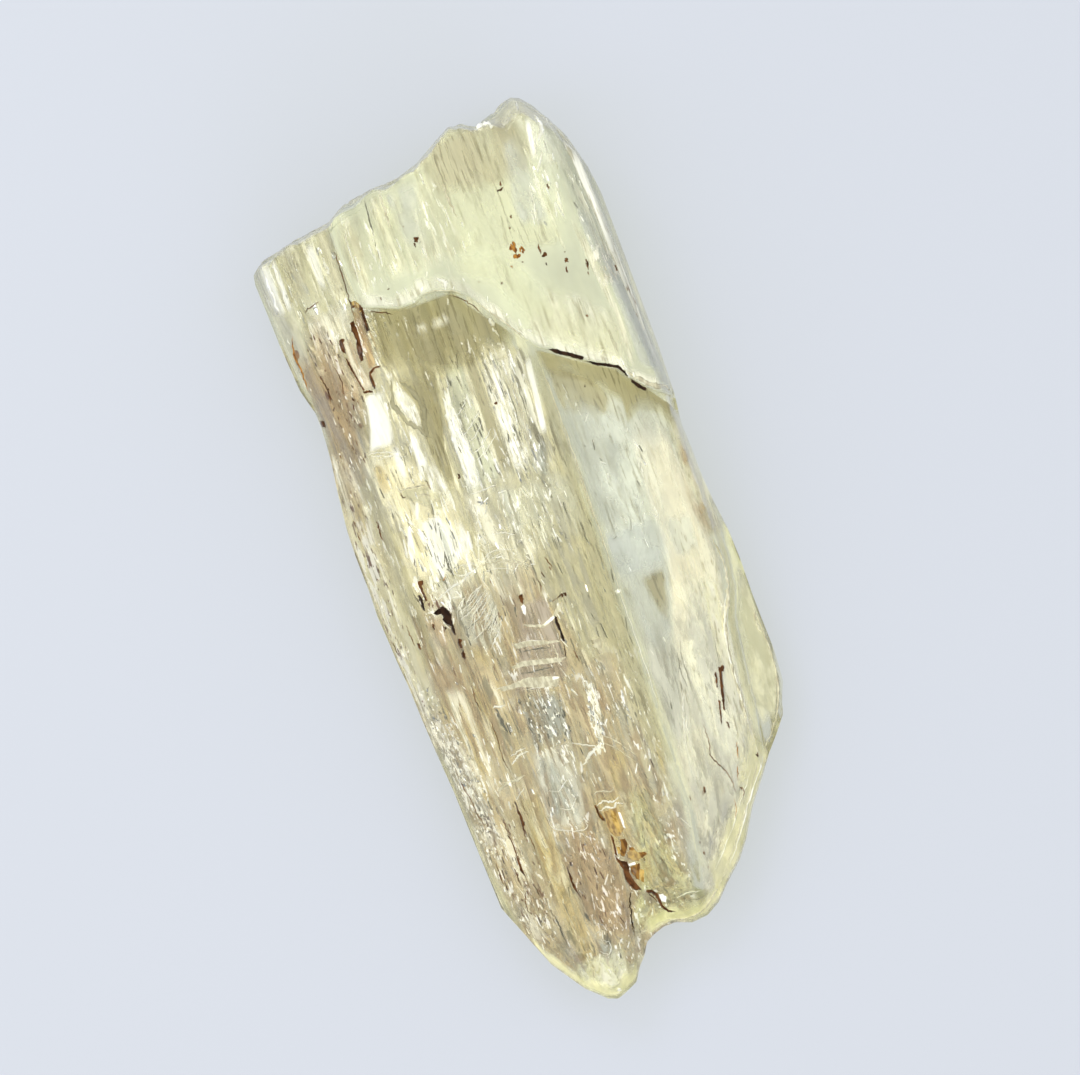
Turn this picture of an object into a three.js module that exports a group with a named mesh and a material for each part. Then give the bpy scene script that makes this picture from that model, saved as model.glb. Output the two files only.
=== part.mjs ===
// A natural spodumene crystal, pale yellow-green and see-through, lying on its broad back face.
//
// Units are millimetres. +Z is up, +Y runs along the crystal's c axis towards its wide broken end, and the
// origin is at the middle of the bounding box, on the face that the crystal rests on.
//
// The crystal is one flattened prism, grown as a single piece. Its front has two levels: an upper slab at
// the wide end, and below the slab's wavy broken edge a lower face, where a cleavage layer has come away.
// Ribs and flutes run along c. The back is a flat cleavage face between two sloping prism faces.
//
// The surface is a grid of columns that run along c and rows that run across. `across` names a column: it
// goes from -HALF_WIDTH at the left edge to HALF_WIDTH at the right one, whatever the real width at that
// row. The columns stand on the creases of the ribs, and two of the rows follow the slab's broken edge.
import * as THREE from "three";
import { mergeVertices } from "three/addons/utils/BufferGeometryUtils.js";

// ---------------------------------------------------------------- driving dimensions

const HALF_WIDTH = 12;
const REST_LEVEL = 0; // the flat of the back, which the crystal lies on
const STEP_RUN = 0.06; // the slab's broken edge is nearly a vertical wall, and this is how far it runs out

// The long edges, as [y, x] from the lower end to the upper one.
const LEFT_EDGE = [
  [-30, -11.0], [-24, -11.1], [-16, -11.3], [-10, -11.65], [-5, -11.9], [-1, -12.2], [6, -12.2],
  [10, -11.7], [13, -11.45], [14.4, -11.5], [16, -11.85], [20, -12.2], [24, -12.35], [28, -12.35],
];
const RIGHT_EDGE = [
  [-30, 12.2], [-15, 12.2], [-11.5, 12.35], [-4, 12.3], [-2, 12.15], [1.5, 11.8], [5, 11.65],
  [7.3, 11.95], [13, 12.0], [20, 11.95], [24, 11.75], [28, 11.3],
];

// The rim is the narrow wall where the front and the back meet, as [y, foot, top] along each long edge. Low
// on the right it drops to a thin flange.
const LEFT_RIM = [[-30, 3.6, 4.6], [-20, 3.9, 4.9], [20, 4.1, 5.0], [28, 4.3, 5.5]];
const RIGHT_RIM = [
  [-30, 2.4, 3.6], [-20, 1.5, 3.3], [-14, 1.1, 3.2], [-5, 1.2, 3.4], [0, 2.2, 4.3], [5, 3.6, 5.0],
  [28, 4.1, 5.4],
];

// The two ends, as [across, y] from left to right. The lower one has two lobes with a notch between them.
const LOWER_END = [
  [-12, -21.5], [-11, -24.3], [-10.2, -26.3], [-8.6, -28.6], [-7.2, -29.7], [-6.2, -30.05], [-5.2, -29.6],
  [-4.2, -28.3], [-3.3, -27.1], [-2.5, -26.7], [-0.9, -26.5], [0.2, -26.9], [1.4, -26.8], [2.6, -26.1],
  [4.9, -24.0], [5.9, -22.8], [7.1, -20.9], [9.5, -17.9], [11.3, -15.7], [12, -13.6],
];
const UPPER_END = [
  [-12, 24.6], [-11.3, 25.4], [-9.2, 25.9], [-6.1, 26.3], [-4.8, 27.0], [-0.6, 27.5], [1, 28.0],
  [3.0, 29.2], [3.8, 29.6], [4.8, 29.5], [5.8, 29.0], [7.2, 29.5], [8.3, 30.05], [9.0, 29.8],
  [10.3, 28.2], [11.2, 26.6], [12, 24.2],
];

// The slab's broken edge, as [across, y]. Left of the slot the slab runs into the shoulder with no step.
const SLAB_EDGE = [
  [-12, 16.0], [-8.6, 18.6], [-5.8, 19.9], [-4.6, 19.4], [-3.6, 18.9], [-2.5, 18.9], [-1.3, 19.25],
  [0.2, 18.8], [1.0, 18.1], [1.9, 16.8], [2.4, 15.9], [3.1, 14.6], [3.8, 13.6], [4.9, 12.7], [6.4, 11.6],
  [8.4, 10.4], [9.6, 8.8], [12, 7.0],
];
const SHOULDER = -6.1; // left of this column the slab and the lower face are one surface
const SLOT = -5.8; // right of this column the slab stands above the lower face
const SHOULDER_BLEND = [10, 22]; // on the shoulder the lower face passes into the slab between these y

// Heights of the front across the crystal between its rims, as [across, z], at stations along y.
const SLAB_SECTIONS = [
  {
    y: 10,
    points: [[-10.2, 8.6], [-8.6, 10.0], [-6.6, 11.0], [-3, 11.9], [3.8, 12.4], [9.0, 11.8], [10.3, 10.4]],
  },
  {
    y: 20,
    points: [[-11.3, 8.5], [-9.2, 10.4], [-6.6, 11.3], [-3, 12.1], [3.8, 12.6], [9.0, 11.9], [10.3, 10.4]],
  },
  {
    y: 28,
    points: [[-11.3, 8.6], [-9.2, 10.1], [-6.6, 10.9], [-3, 11.5], [3.8, 12.0], [8.4, 11.4], [9.6, 9.8]],
  },
];
const LOWER_SECTIONS = [
  { y: -30, points: [[-9.2, 5.4], [-6.2, 5.9], [-2.5, 5.2], [0, 4.9], [4, 4.9], [8.4, 4.5], [9.0, 3.9]] },
  {
    y: -24,
    points: [
      [-9.2, 6.7], [-6.2, 7.4], [-3.0, 7.1], [-2.5, 6.4], [2.4, 6.9],
      [4.9, 5.8], [8.4, 5.2], [9.0, 3.8],
    ],
  },
  {
    y: -17,
    points: [[-10.2, 6.8], [-6.2, 8.3], [-1.9, 8.4], [-1.3, 8.0], [3.8, 9.0], [9.0, 6.1], [9.6, 3.9]],
  },
  {
    y: -8.5,
    points: [
      [-10.2, 7.3], [-8.6, 8.2], [-5.2, 9.3], [-1.3, 9.5], [-0.5, 9.1],
      [3.8, 10.2], [9.6, 7.4], [10.3, 4.3],
    ],
  },
  {
    y: -5,
    points: [
      [-10.2, 7.5], [-8.6, 8.5], [-5.2, 9.7], [-1.3, 9.8], [-0.5, 9.4],
      [3.8, 10.7], [10.3, 8.0], [11.2, 4.5],
    ],
  },
  {
    y: 0,
    points: [
      [-10.2, 7.6], [-8.6, 8.8], [-5.2, 9.6], [-1.3, 9.9], [0.7, 9.7],
      [3.8, 10.9], [10.3, 9.2], [11.2, 7.4],
    ],
  },
  {
    y: 6,
    points: [
      [-10.2, 7.8], [-8.6, 9.1], [-7.2, 9.5], [-5.2, 9.4], [-1.3, 10.1],
      [1.4, 9.8], [3.8, 11.0], [11.2, 9.3],
    ],
  },
  {
    y: 18,
    points: [
      [-10.2, 8.5], [-8.6, 9.8], [-6.6, 10.4], [-6.3, 9.3], [-1.9, 9.9],
      [0.7, 10.5], [3.8, 11.1], [11.2, 9.6],
    ],
  },
];

// Ribs that stand on the front, each a tent along c: its crest and feet across, height, and its run along y.
const RIBS = [
  { left: -11.3, crest: -10.7, right: -10.2, height: 0.35, from: 12, to: 27 },
  { left: -9.2, crest: -8.6, right: -7.8, height: 0.4, from: -12, to: 26 },
  { left: -7.8, crest: -7.2, right: -6.6, height: 0.35, from: 16, to: 27 },
  { left: -5.8, crest: -5.2, right: -4.6, height: 0.4, from: -26, to: 12 },
  { left: -4.2, crest: -3.6, right: -3.0, height: 0.5, from: -14, to: 17 },
  { left: -2.5, crest: -1.9, right: -1.3, height: 0.4, from: -24, to: 16 },
  { left: -0.5, crest: 0.2, right: 0.7, height: 0.5, from: -8, to: 15 },
  { left: 1.4, crest: 1.9, right: 2.4, height: 0.4, from: -20, to: 12 },
  { left: 4.9, crest: 6.4, right: 8.4, height: 0.15, from: -22, to: 4 },
];
const RIB_FADE = 2.5; // run over which a rib rises at each of its ends

// The back: flat between these columns, with a sloping prism face from each of them up to the rim.
const BACK_FLAT_LEFT = -9.2;
const BACK_FLAT_RIGHT = 10.3;

// How far in from each end the front and back faces curve over to the rim.
const UPPER_BEVEL = 0.5;
const CHIP_BEVEL = 1.6;
const CHIP = [5.4, 8.3]; // the upper end is chipped more deeply from the first of these columns to the second
const LOWER_BEVEL = 3.4;
const BEVEL_POWER = 0.62; // 1 would be a flat chamfer, and smaller is fuller

const CREASES = [
  -12, -11.3, -10.7, -10.2, -9.2, -8.6, -7.8, -7.2, -6.6, SHOULDER, SLOT, -5.2, -4.6, -4.2, -3.6, -3.0, -2.5,
  -1.9, -1.3, -0.5, 0.2, 0.7, 1.4, 1.9, 2.4, 3.1, 3.8, 4.9, 5.8, 6.4, 7.2, 7.8, 8.4, 9.0, 9.6, 10.3, 11.2, 12,
];
const ROWS_BELOW = 22; // grid cells along, below the slab's edge
const ROWS_ABOVE = 10; // grid cells along, on the slab
const ROW_PACKING = 1.35; // above 1, rows stand closer together towards the ends of the crystal

// ---------------------------------------------------------------- shape

const { clamp, lerp, smoothstep, inverseLerp } = THREE.MathUtils;

// Reads a polyline of [key, value] points at one key.
function readAt(points, key) {
  let i = 1;
  while (i < points.length - 1 && points[i][0] < key) i += 1;
  const [k0, v0] = points[i - 1];
  const [k1, v1] = points[i];
  return lerp(v0, v1, clamp(inverseLerp(k0, k1, key), 0, 1));
}

function rimFoot(across, y) {
  const share = inverseLerp(-HALF_WIDTH, HALF_WIDTH, across);
  return lerp(readAt(LEFT_RIM, y), readAt(RIGHT_RIM, y), share);
}

function rimTop(across, y) {
  const share = inverseLerp(-HALF_WIDTH, HALF_WIDTH, across);
  const tops = (rim) => rim.map(([station, , top]) => [station, top]);
  return lerp(readAt(tops(LEFT_RIM), y), readAt(tops(RIGHT_RIM), y), share);
}

// Reads cross sections that stand at stations along y. Each runs from rim to rim.
function readSections(sections, across, y) {
  let i = 1;
  while (i < sections.length - 1 && sections[i].y < y) i += 1;
  const below = sections[i - 1];
  const above = sections[i];
  const share = clamp(inverseLerp(below.y, above.y, y), 0, 1);
  const left = [-HALF_WIDTH, rimTop(-HALF_WIDTH, y)];
  const right = [HALF_WIDTH, rimTop(HALF_WIDTH, y)];
  const heightIn = ({ points }) => readAt([left, ...points, right], across);
  return lerp(heightIn(below), heightIn(above), share);
}

function ribHeight(across, y) {
  let height = 0;
  for (const { left, crest, right, height: full, from, to } of RIBS) {
    const tent = Math.min(inverseLerp(left, crest, across), inverseLerp(right, crest, across));
    const rise = Math.min(smoothstep(y, from, from + RIB_FADE), 1 - smoothstep(y, to - RIB_FADE, to));
    height += full * Math.max(0, tent) * rise;
  }
  return height;
}

// 0 at an end of the crystal and 1 past the bevel there.
function endFullness(across, y) {
  const upperWidth = lerp(UPPER_BEVEL, CHIP_BEVEL, smoothstep(across, ...CHIP));
  const upper = (readAt(UPPER_END, across) - y) / upperWidth;
  const lower = (y - readAt(LOWER_END, across)) / LOWER_BEVEL;
  return clamp(Math.min(upper, lower), 0, 1) ** BEVEL_POWER;
}

function frontHeight(across, y, onSlab) {
  const slab = readSections(SLAB_SECTIONS, across, y);
  const lower = readSections(LOWER_SECTIONS, across, y);
  const shoulder = lerp(lower, slab, smoothstep(y, ...SHOULDER_BLEND));
  const besideSlot = 1 - smoothstep(across, SHOULDER, SLOT);
  const level = lerp(onSlab ? slab : lower, shoulder, besideSlot);
  const rim = rimTop(across, y);
  return lerp(rim, Math.max(rim, level + ribHeight(across, y)), endFullness(across, y));
}

function backHeight(across, y) {
  const rim = rimFoot(across, y);
  const leftFace = inverseLerp(BACK_FLAT_LEFT, -HALF_WIDTH, across);
  const rightFace = inverseLerp(BACK_FLAT_RIGHT, HALF_WIDTH, across);
  const level = lerp(REST_LEVEL, rim, Math.max(0, leftFace, rightFace));
  return lerp(rim, level, endFullness(across, y));
}

function placeX(across, y) {
  const share = inverseLerp(-HALF_WIDTH, HALF_WIDTH, across);
  return lerp(readAt(LEFT_EDGE, y), readAt(RIGHT_EDGE, y), share);
}

// ---------------------------------------------------------------- grid

// The rows of one column, from the lower end to the upper one. Two of them hold the slab's broken edge.
function rowsOf(across) {
  const low = readAt(LOWER_END, across);
  const edge = readAt(SLAB_EDGE, across);
  const high = readAt(UPPER_END, across);
  const rows = [];
  for (let i = 0; i <= ROWS_BELOW; i += 1) {
    const share = (i / ROWS_BELOW) ** ROW_PACKING;
    rows.push({ y: lerp(low, edge - STEP_RUN / 2, share), onSlab: false });
  }
  for (let i = ROWS_ABOVE; i >= 0; i -= 1) {
    const share = (i / ROWS_ABOVE) ** ROW_PACKING;
    rows.push({ y: lerp(high, edge + STEP_RUN / 2, share), onSlab: true });
  }
  return rows;
}

// One skin of the crystal as a list of points, column by column.
function skin(heightAt) {
  return CREASES.flatMap((across) =>
    rowsOf(across).flatMap(({ y, onSlab }) => [placeX(across, y), y, heightAt(across, y, onSlab)]),
  );
}

function crystalGeometry() {
  const rows = ROWS_BELOW + ROWS_ABOVE + 2;
  const columns = CREASES.length;
  const front = (column, row) => column * rows + row;
  const back = (column, row) => (columns + column) * rows + row;
  const faces = [];
  const quad = (a, b, c, d) => faces.push(a, b, c, a, c, d);
  const lastColumn = columns - 1;
  const lastRow = rows - 1;
  for (let c = 0; c < lastColumn; c += 1) {
    for (let r = 0; r < lastRow; r += 1) {
      quad(front(c, r), front(c + 1, r), front(c + 1, r + 1), front(c, r + 1));
      quad(back(c, r), back(c, r + 1), back(c + 1, r + 1), back(c + 1, r));
    }
    quad(back(c, 0), back(c + 1, 0), front(c + 1, 0), front(c, 0));
    quad(front(c, lastRow), front(c + 1, lastRow), back(c + 1, lastRow), back(c, lastRow));
  }
  for (let r = 0; r < lastRow; r += 1) {
    quad(front(0, r), front(0, r + 1), back(0, r + 1), back(0, r));
    quad(front(lastColumn, r), back(lastColumn, r), back(lastColumn, r + 1), front(lastColumn, r + 1));
  }
  const points = [...skin(frontHeight), ...skin(backHeight)];
  const geometry = new THREE.BufferGeometry();
  geometry.setAttribute("position", new THREE.Float32BufferAttribute(points, 3));
  geometry.setIndex(faces);
  return mergeVertices(geometry);
}

// ---------------------------------------------------------------- the part

const spodumene = new THREE.MeshStandardMaterial({
  color: new THREE.Color(0.86, 0.87, 0.68),
  roughness: 0.08,
  metalness: 0,
});

const crystal = new THREE.Mesh(crystalGeometry(), spodumene);
crystal.name = "spodumene_crystal";

const specimen = new THREE.Group();
specimen.add(crystal);

export default specimen;
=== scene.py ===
"""A natural spodumene crystal, pale yellow-green and see-through, lying on its broad back face.

Lengths in this file are millimetres in the row's frame: +Y runs along the c axis towards the wide broken
end, +Z is up, and z = 0 is the face that the crystal rests on. They become metres when a mesh is made.
"""

import math

import bmesh
import bpy
import numpy as np
from bpy.props import FloatProperty, FloatVectorProperty, IntProperty, PointerProperty
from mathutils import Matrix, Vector


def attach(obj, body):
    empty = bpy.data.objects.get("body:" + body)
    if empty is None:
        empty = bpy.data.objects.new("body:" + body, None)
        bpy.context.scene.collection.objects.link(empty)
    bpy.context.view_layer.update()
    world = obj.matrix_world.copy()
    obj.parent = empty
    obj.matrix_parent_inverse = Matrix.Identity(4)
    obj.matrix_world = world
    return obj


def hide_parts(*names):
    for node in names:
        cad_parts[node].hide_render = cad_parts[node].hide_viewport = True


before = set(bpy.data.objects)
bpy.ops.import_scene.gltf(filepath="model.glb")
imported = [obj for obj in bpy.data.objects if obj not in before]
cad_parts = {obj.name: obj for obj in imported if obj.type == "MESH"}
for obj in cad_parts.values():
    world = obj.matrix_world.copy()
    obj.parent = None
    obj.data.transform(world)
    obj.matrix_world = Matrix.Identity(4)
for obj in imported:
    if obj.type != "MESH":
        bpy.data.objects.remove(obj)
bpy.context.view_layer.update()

bl_info = {
    "name": "Spodumene crystal",
    "version": (1, 0, 0),
    "blender": (4, 5, 0),
    "location": "View3D > Sidebar > Spodumene",
    "description": "Builds a see-through striated crystal with its veils, cracks and iron stains",
    "category": "Object",
}

MM = 0.001
NODE = "spodumene_crystal"

# ---------------------------------------------------------------- form: the outline

HALF_WIDTH = 12.0  # "across" runs from -HALF_WIDTH at the left edge to HALF_WIDTH at the right one

# The long edges, as (y, x) from the lower end to the upper one.
LEFT_EDGE = (
    (-30, -10.9), (-24, -11), (-22.2, -11.1), (-19.5, -11.2), (-15.8, -11.35), (-12.9, -11.45),
    (-10.3, -11.65), (-7.7, -11.8), (-5.1, -11.9), (-3.4, -12.05), (-1.5, -12.15), (-0.1, -12.25),
    (1.8, -12.2), (4.3, -12.25), (6.2, -12.2), (7.5, -12.05), (8.9, -11.9), (11, -11.6), (12.4, -11.5),
    (13.4, -11.45), (14.5, -11.5), (15.2, -11.7), (16.2, -11.95), (17.6, -12.05), (19.7, -12.2),
    (21.6, -12.25), (24, -12.35), (25, -12.15), (28, -12.15),
)
RIGHT_EDGE = (
    (-30, 12.1), (-14.8, 12), (-13.5, 12.2), (-11.4, 12.35), (-9.6, 12.3), (-7.3, 12.25), (-4.8, 12.3),
    (-2.6, 12.2), (-0.3, 11.9), (1.6, 11.75), (3.4, 11.75), (5.2, 11.65), (7.3, 11.9), (10.9, 12),
    (17.5, 11.95), (21.8, 11.9), (24.8, 11.5), (28, 11.3),
)
# The two ends, as (across, y) from left to right.
LOWER_END = (
    (-12, -21.5), (-11, -24.3), (-10.2, -26.3), (-8.6, -28.6), (-7.3, -29.8), (-6.6, -30.05), (-5.9, -29.8),
    (-5, -29.4), (-4.4, -28.5), (-3.8, -27.9), (-3.3, -27.1), (-2.7, -26.8), (-1.8, -26.5), (-0.9, -26.5),
    (0.2, -26.9), (1.4, -26.8), (2.5, -26.2), (3.5, -25.2), (4.9, -24), (5.9, -22.8), (7.1, -20.9),
    (8.6, -19.1), (9.5, -17.9), (10.5, -16.8), (11.4, -15.7), (12, -13.6),
)
UPPER_END = (
    (-12, 24.7), (-11.2, 25.4), (-9, 25.9), (-5.9, 26.3), (-4.6, 27.1), (-2.5, 27.4), (-0.4, 27.5),
    (1.2, 28), (3, 29), (4.1, 29.6), (5.1, 29.5), (5.9, 29), (7.4, 29.5), (8.2, 29.9), (8.9, 30.05),
    (9.5, 29.8), (10.2, 29), (10.9, 28), (11.2, 27.3), (11.6, 26.4), (12, 24.4),
)
# The upper slab's broken edge, as (across, y). Left of SHOULDER there is no step.
SLAB_EDGE = (
    (-12, 15.4), (-8.3, 18.4), (-5.9, 19.9), (-4.9, 19.5), (-3.6, 18.9), (-2.4, 18.9), (-1.7, 19.25),
    (-0.9, 19.2), (0.2, 18.8), (1.1, 18.1), (1.75, 17), (2.55, 15.7), (3.35, 14.2), (4.05, 13.3),
    (4.9, 12.8), (6, 11.9), (7.2, 11.1), (8.5, 10.4), (9, 9.7), (9.6, 8.8), (10.4, 8.1), (12, 7),
)
SHOULDER = -6.0
STEP_RUN = 0.08  # how far the face of the step runs along c

# ---------------------------------------------------------------- form: the creases of the front

# The parting edge between the front and the back, as (y, foot, top) from the lower end to the upper one.
# The back begins at its foot and the front at its top. Low on the right, the edge is a thin clear flange.
LEFT_RIM = ((-30, 3.6, 4.6), (-20, 3.9, 4.9), (20, 4.1, 5.0), (28, 4.3, 5.5))
RIGHT_RIM = (
    (-30, 2.4, 3.6), (-20, 1.5, 3.3), (-14, 1.1, 3.2), (-5, 1.2, 3.4), (0, 2.2, 4.3), (5, 3.6, 5),
    (28, 4.1, 5.4),
)

# Each crease is a line along c, as (y, x, z) from the upper end to the lower one, and the front between two
# of them is a ruled face. The outermost creases are the rim, which follows the outline.
LOWER_CREASES = (
    ((18, -10.5, 8.5), (8, -10, 7.9), (-1, -10.3, 7.6), (-7, -10.2, 7.3), (-13.5, -9.7, 7), (-19, -8.8,
        6.9), (-24, -7.9, 6.6), (-29, -7.2, 5.7)),
    ((18, -8.9, 9.9), (8, -8.9, 9.3), (0, -9, 8.7), (-10, -8.8, 8.1), (-20, -7.9, 7.4), (-29, -6.9, 5.9)),
    ((18, -8, 9.6), (10, -7.9, 9), (0, -8.2, 8.5), (-10, -7.9, 7.9), (-20, -7.3, 7.1), (-29, -6.6, 5.8)),
    ((19, -6.75, 10.4), (12, -6.5, 10), (4, -6.6, 9.7), (-6, -6.8, 9), (-16, -6.9, 8.2), (-29, -6.3, 5.9)),
    ((19, -6.3, 9.2), (12, -5.9, 9.2), (4, -6, 9.2), (-6, -6.1, 8.8), (-16, -6.2, 7.9), (-29, -6, 5.7)),
    ((19, -5, 10.1), (12, -4.7, 10.1), (4, -4.9, 9.9), (-6, -5.3, 9.5), (-16, -5.6, 8.4), (-29, -5.5, 5.8)),
    ((19, -3.9, 9.5), (12, -3.8, 9.4), (4, -4.2, 9.3), (-6, -4.6, 9), (-16, -4.6, 8), (-29, -4.9, 5.5)),
    ((19, -2.6, 10.4), (12, -2.7, 10.5), (4, -3, 10.2), (-6, -3.2, 9.8), (-16, -3.6, 8.4), (-27, -3.8,
        5.9)),
    ((19, -1.6, 9.7), (12, -1.7, 9.7), (4, -1.9, 9.6), (-6, -2.1, 9.3), (-16, -2.3, 7.9), (-27, -2.9, 4.9)),
    ((18, -0.4, 10.6), (12, -0.4, 10.6), (4, -0.5, 10.3), (-6, -0.6, 9.9), (-16, -1.3, 8.5), (-27, -2,
        5.5)),
    ((17, 0.7, 10), (12, 0.6, 10), (4, 0.5, 9.9), (-6, 0.5, 9.6), (-16, 0.2, 8.5), (-27, -0.6, 5.6)),
    ((16, 1.8, 10.9), (12, 1.7, 10.9), (4, 1.6, 10.6), (-6, 1.5, 10.2), (-16, 1.4, 8.9), (-27, 0.8, 5.8)),
    ((15, 2.8, 10.3), (12, 2.9, 10.3), (4, 2.7, 10.2), (-6, 2.5, 9.9), (-16, 2.2, 8.8), (-27, 1.5, 5.7)),
    ((14, 4.3, 11.3), (7.7, 3.75, 11.2), (-0.3, 3.75, 10.9), (-8.6, 3.6, 10.3), (-17.5, 3.3, 9.1), (-23.6,
        2.3, 7.2), (-27, 1.9, 5.8)),
    ((14, 5.2, 10.9), (7.7, 4.8, 10.8), (-0.3, 4.8, 10.4), (-8.6, 4.7, 9.7), (-17.5, 4.5, 8.3), (-26, 4,
        5.6)),
    ((14, 8.2, 10.4), (4, 8, 10), (-6, 7.6, 9.1), (-16, 7, 7.3), (-26, 6, 5.3)),
    ((14, 11.3, 9.8), (7, 11.2, 9.6), (2, 11.1, 9.1), (-1.5, 11.2, 8.4), (-5.3, 11.1, 7.6), (-7.2, 10.7,
        7.4), (-8.8, 9.9, 7.3), (-13.2, 9.3, 6.7), (-16.8, 9, 6), (-26, 8, 5.2)),
    ((14, 11.4, 9.3), (7, 11.3, 9), (2, 11.35, 8), (-1.5, 11.55, 5.6), (-5.3, 11.55, 4.5), (-7.2, 11.3,
        4.4), (-8.8, 10.6, 4.3), (-13.2, 10, 4.1), (-16.8, 9.6, 3.9), (-26, 8.4, 3.7)),
)
SLAB_CREASES = (
    ((28, -11.6, 8.3), (24, -11.5, 8.5), (18, -10.6, 8.6), (8, -10.2, 8.4)),
    ((28, -10.9, 9.4), (24, -10.7, 9.6), (18, -10, 9.2), (8, -9.8, 8.9)),
    ((28, -10.3, 9.1), (24, -10.1, 9.2), (18, -9.5, 9.1), (8, -9.4, 9)),
    ((28, -9.2, 10.2), (24, -9.2, 10.4), (18, -8.9, 9.9), (8, -8.9, 9.7)),
    ((28, -8.6, 9.9), (24, -8.4, 10), (18, -8, 9.7), (8, -8, 9.6)),
    ((28, -7.4, 10.8), (24, -7.4, 11), (18, -7.2, 10.3), (8, -7.2, 10.2)),
    ((28, -6.9, 10.5), (24, -6.8, 10.6), (18, -6.7, 10.1), (8, -6.7, 10)),
    ((28, -5.9, 11.3), (24, -6, 11.5), (18, -6, 11.5), (8, -6, 11.3)),
    ((28, -4.9, 11.3), (24, -4.9, 11.7), (18, -5, 11.7), (8, -5, 11.6)),
    ((28, -3.5, 11.3), (24, -3.5, 11.4), (18, -3.7, 11.9), (8, -3.7, 11.8)),
    ((28, -2.2, 11.8), (24, -2.3, 12.1), (18, -2.6, 12.2), (8, -2.6, 12)),
    ((28, 0.8, 11.9), (20, 0.6, 12.3), (8, 0.4, 12.2)),
    ((30, 3.9, 11.9), (20, 3.8, 12.5), (8, 3.8, 12.4)),
    ((30, 6.8, 11.7), (20, 7, 12.3), (8, 7, 12.2)),
    ((30, 8.9, 11.3), (25, 9.4, 11.7), (20, 9.8, 11.8), (15, 10.5, 11.6), (8, 11, 11.2)),
    ((30, 9.7, 9.6), (25, 10.7, 10), (20, 10.9, 10.2), (15, 11.1, 10.1), (8, 11.4, 9.6)),
)
BLEND_LOW, BLEND_HIGH = 12.0, 21.0  # on the shoulder the lower face passes into the slab between these y


# ---------------------------------------------------------------- form: reading the numbers above


def read_at(points, key):
    """A polyline of (key, value) points, read at an array of keys."""
    keys, values = zip(*points)
    return np.interp(key, keys, values)


def smooth(value, low, high):
    """0 below low, 1 above high, and a smooth step between."""
    share = np.clip((value - low) / (high - low), 0, 1)
    return share * share * (3 - 2 * share)


NOISE_TABLE = 128  # cells before the noise repeats


def noise(u, v, seed, crisp=False):
    """Noise from -1 to 1 with a cell of 1 by 1. A crisp one is faceted along u."""
    table = np.random.default_rng(seed).uniform(-1, 1, (NOISE_TABLE, NOISE_TABLE))
    left, low = np.floor(u).astype(int), np.floor(v).astype(int)
    across, up = u - left, v - low
    if not crisp:
        across = across * across * (3 - 2 * across)
    up = up * up * (3 - 2 * up)

    def corner(i, j):
        return table[(left + i) % NOISE_TABLE, (low + j) % NOISE_TABLE]

    near = corner(0, 0) * (1 - across) + corner(1, 0) * across
    far = corner(0, 1) * (1 - across) + corner(1, 1) * across
    return near * (1 - up) + far * up


def rough(u, v, seed, octaves=3):
    """Several sizes of noise added up."""
    total = 0
    for octave in range(octaves):
        total = total + noise(u * 2**octave, v * 2**octave, seed + octave) / 2**octave
    return total


def place_x(across, y):
    """The x of a place across the crystal."""
    share = (across + HALF_WIDTH) / (2 * HALF_WIDTH)
    return read_at(LEFT_EDGE, y) * (1 - share) + read_at(RIGHT_EDGE, y) * share


def across_at(x, y):
    """The place across the crystal of a plan point."""
    left, right = read_at(LEFT_EDGE, y), read_at(RIGHT_EDGE, y)
    return (2 * (x - left) / (right - left) - 1) * HALF_WIDTH


def plan_line(line, rise=0):
    """The plan points of a line given across the crystal, raised along c."""
    return tuple((float(place_x(across, y + rise)), y + rise) for across, y in line)


def rim_at(across, y, layer):
    """Height of the parting edge: its foot is layer 1 and its top is layer 2."""
    share = (across + HALF_WIDTH) / (2 * HALF_WIDTH)
    left = read_at([(row[0], row[layer]) for row in LEFT_RIM], y)
    right = read_at([(row[0], row[layer]) for row in RIGHT_RIM], y)
    return left * (1 - share) + right * share


NARROWEST_FACE = 0.02


def ruled(creases, x, y):
    """Height of the ruled faces between creases, and the number of the crease that (x, y) is at."""
    xs, zs = [read_at(LEFT_EDGE, y)], [rim_at(-HALF_WIDTH, y, 2)]
    for crease in creases:
        rising = crease[::-1]
        xs.append(read_at([(p[0], p[1]) for p in rising], y))
        zs.append(read_at([(p[0], p[2]) for p in rising], y))
    xs.append(read_at(RIGHT_EDGE, y))
    zs.append(rim_at(HALF_WIDTH, y, 2))
    height = zs[-1].copy()
    place = np.full_like(y, len(xs) - 1.0)
    for i in reversed(range(len(xs) - 1)):
        run = np.maximum(xs[i + 1] - xs[i], NARROWEST_FACE)
        share = np.clip((x - xs[i]) / run, 0, 1)
        here = x < xs[i + 1]
        height = np.where(here, zs[i] * (1 - share) + zs[i + 1] * share, height)
        place = np.where(here, i + share, place)
    return height, place


# ---------------------------------------------------------------- form: heights

# How far the bevels run along c: the upper end's, that of its chipped right part, and the lower end's.
UPPER_BEVEL, CHIP_BEVEL, LOWER_BEVEL = 0.5, 1.6, 3.4
CHIPPED_PART = (5.4, 8.3)  # the chipped part's bevel comes in between these places across
BEVEL_WANDER = 0.35
BEVEL_POWER = 0.62
CHIP_DEPTH = 0.45  # how far the chips go into the broken upper end
CHIP_REACH = 0.55  # how far from the end a point still moves with them


def bevel_wander(across, y):
    """How far the run of a bevel wanders."""
    return BEVEL_WANDER * noise(across * 1.3, y * 0.3, 5, crisp=True)


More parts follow.
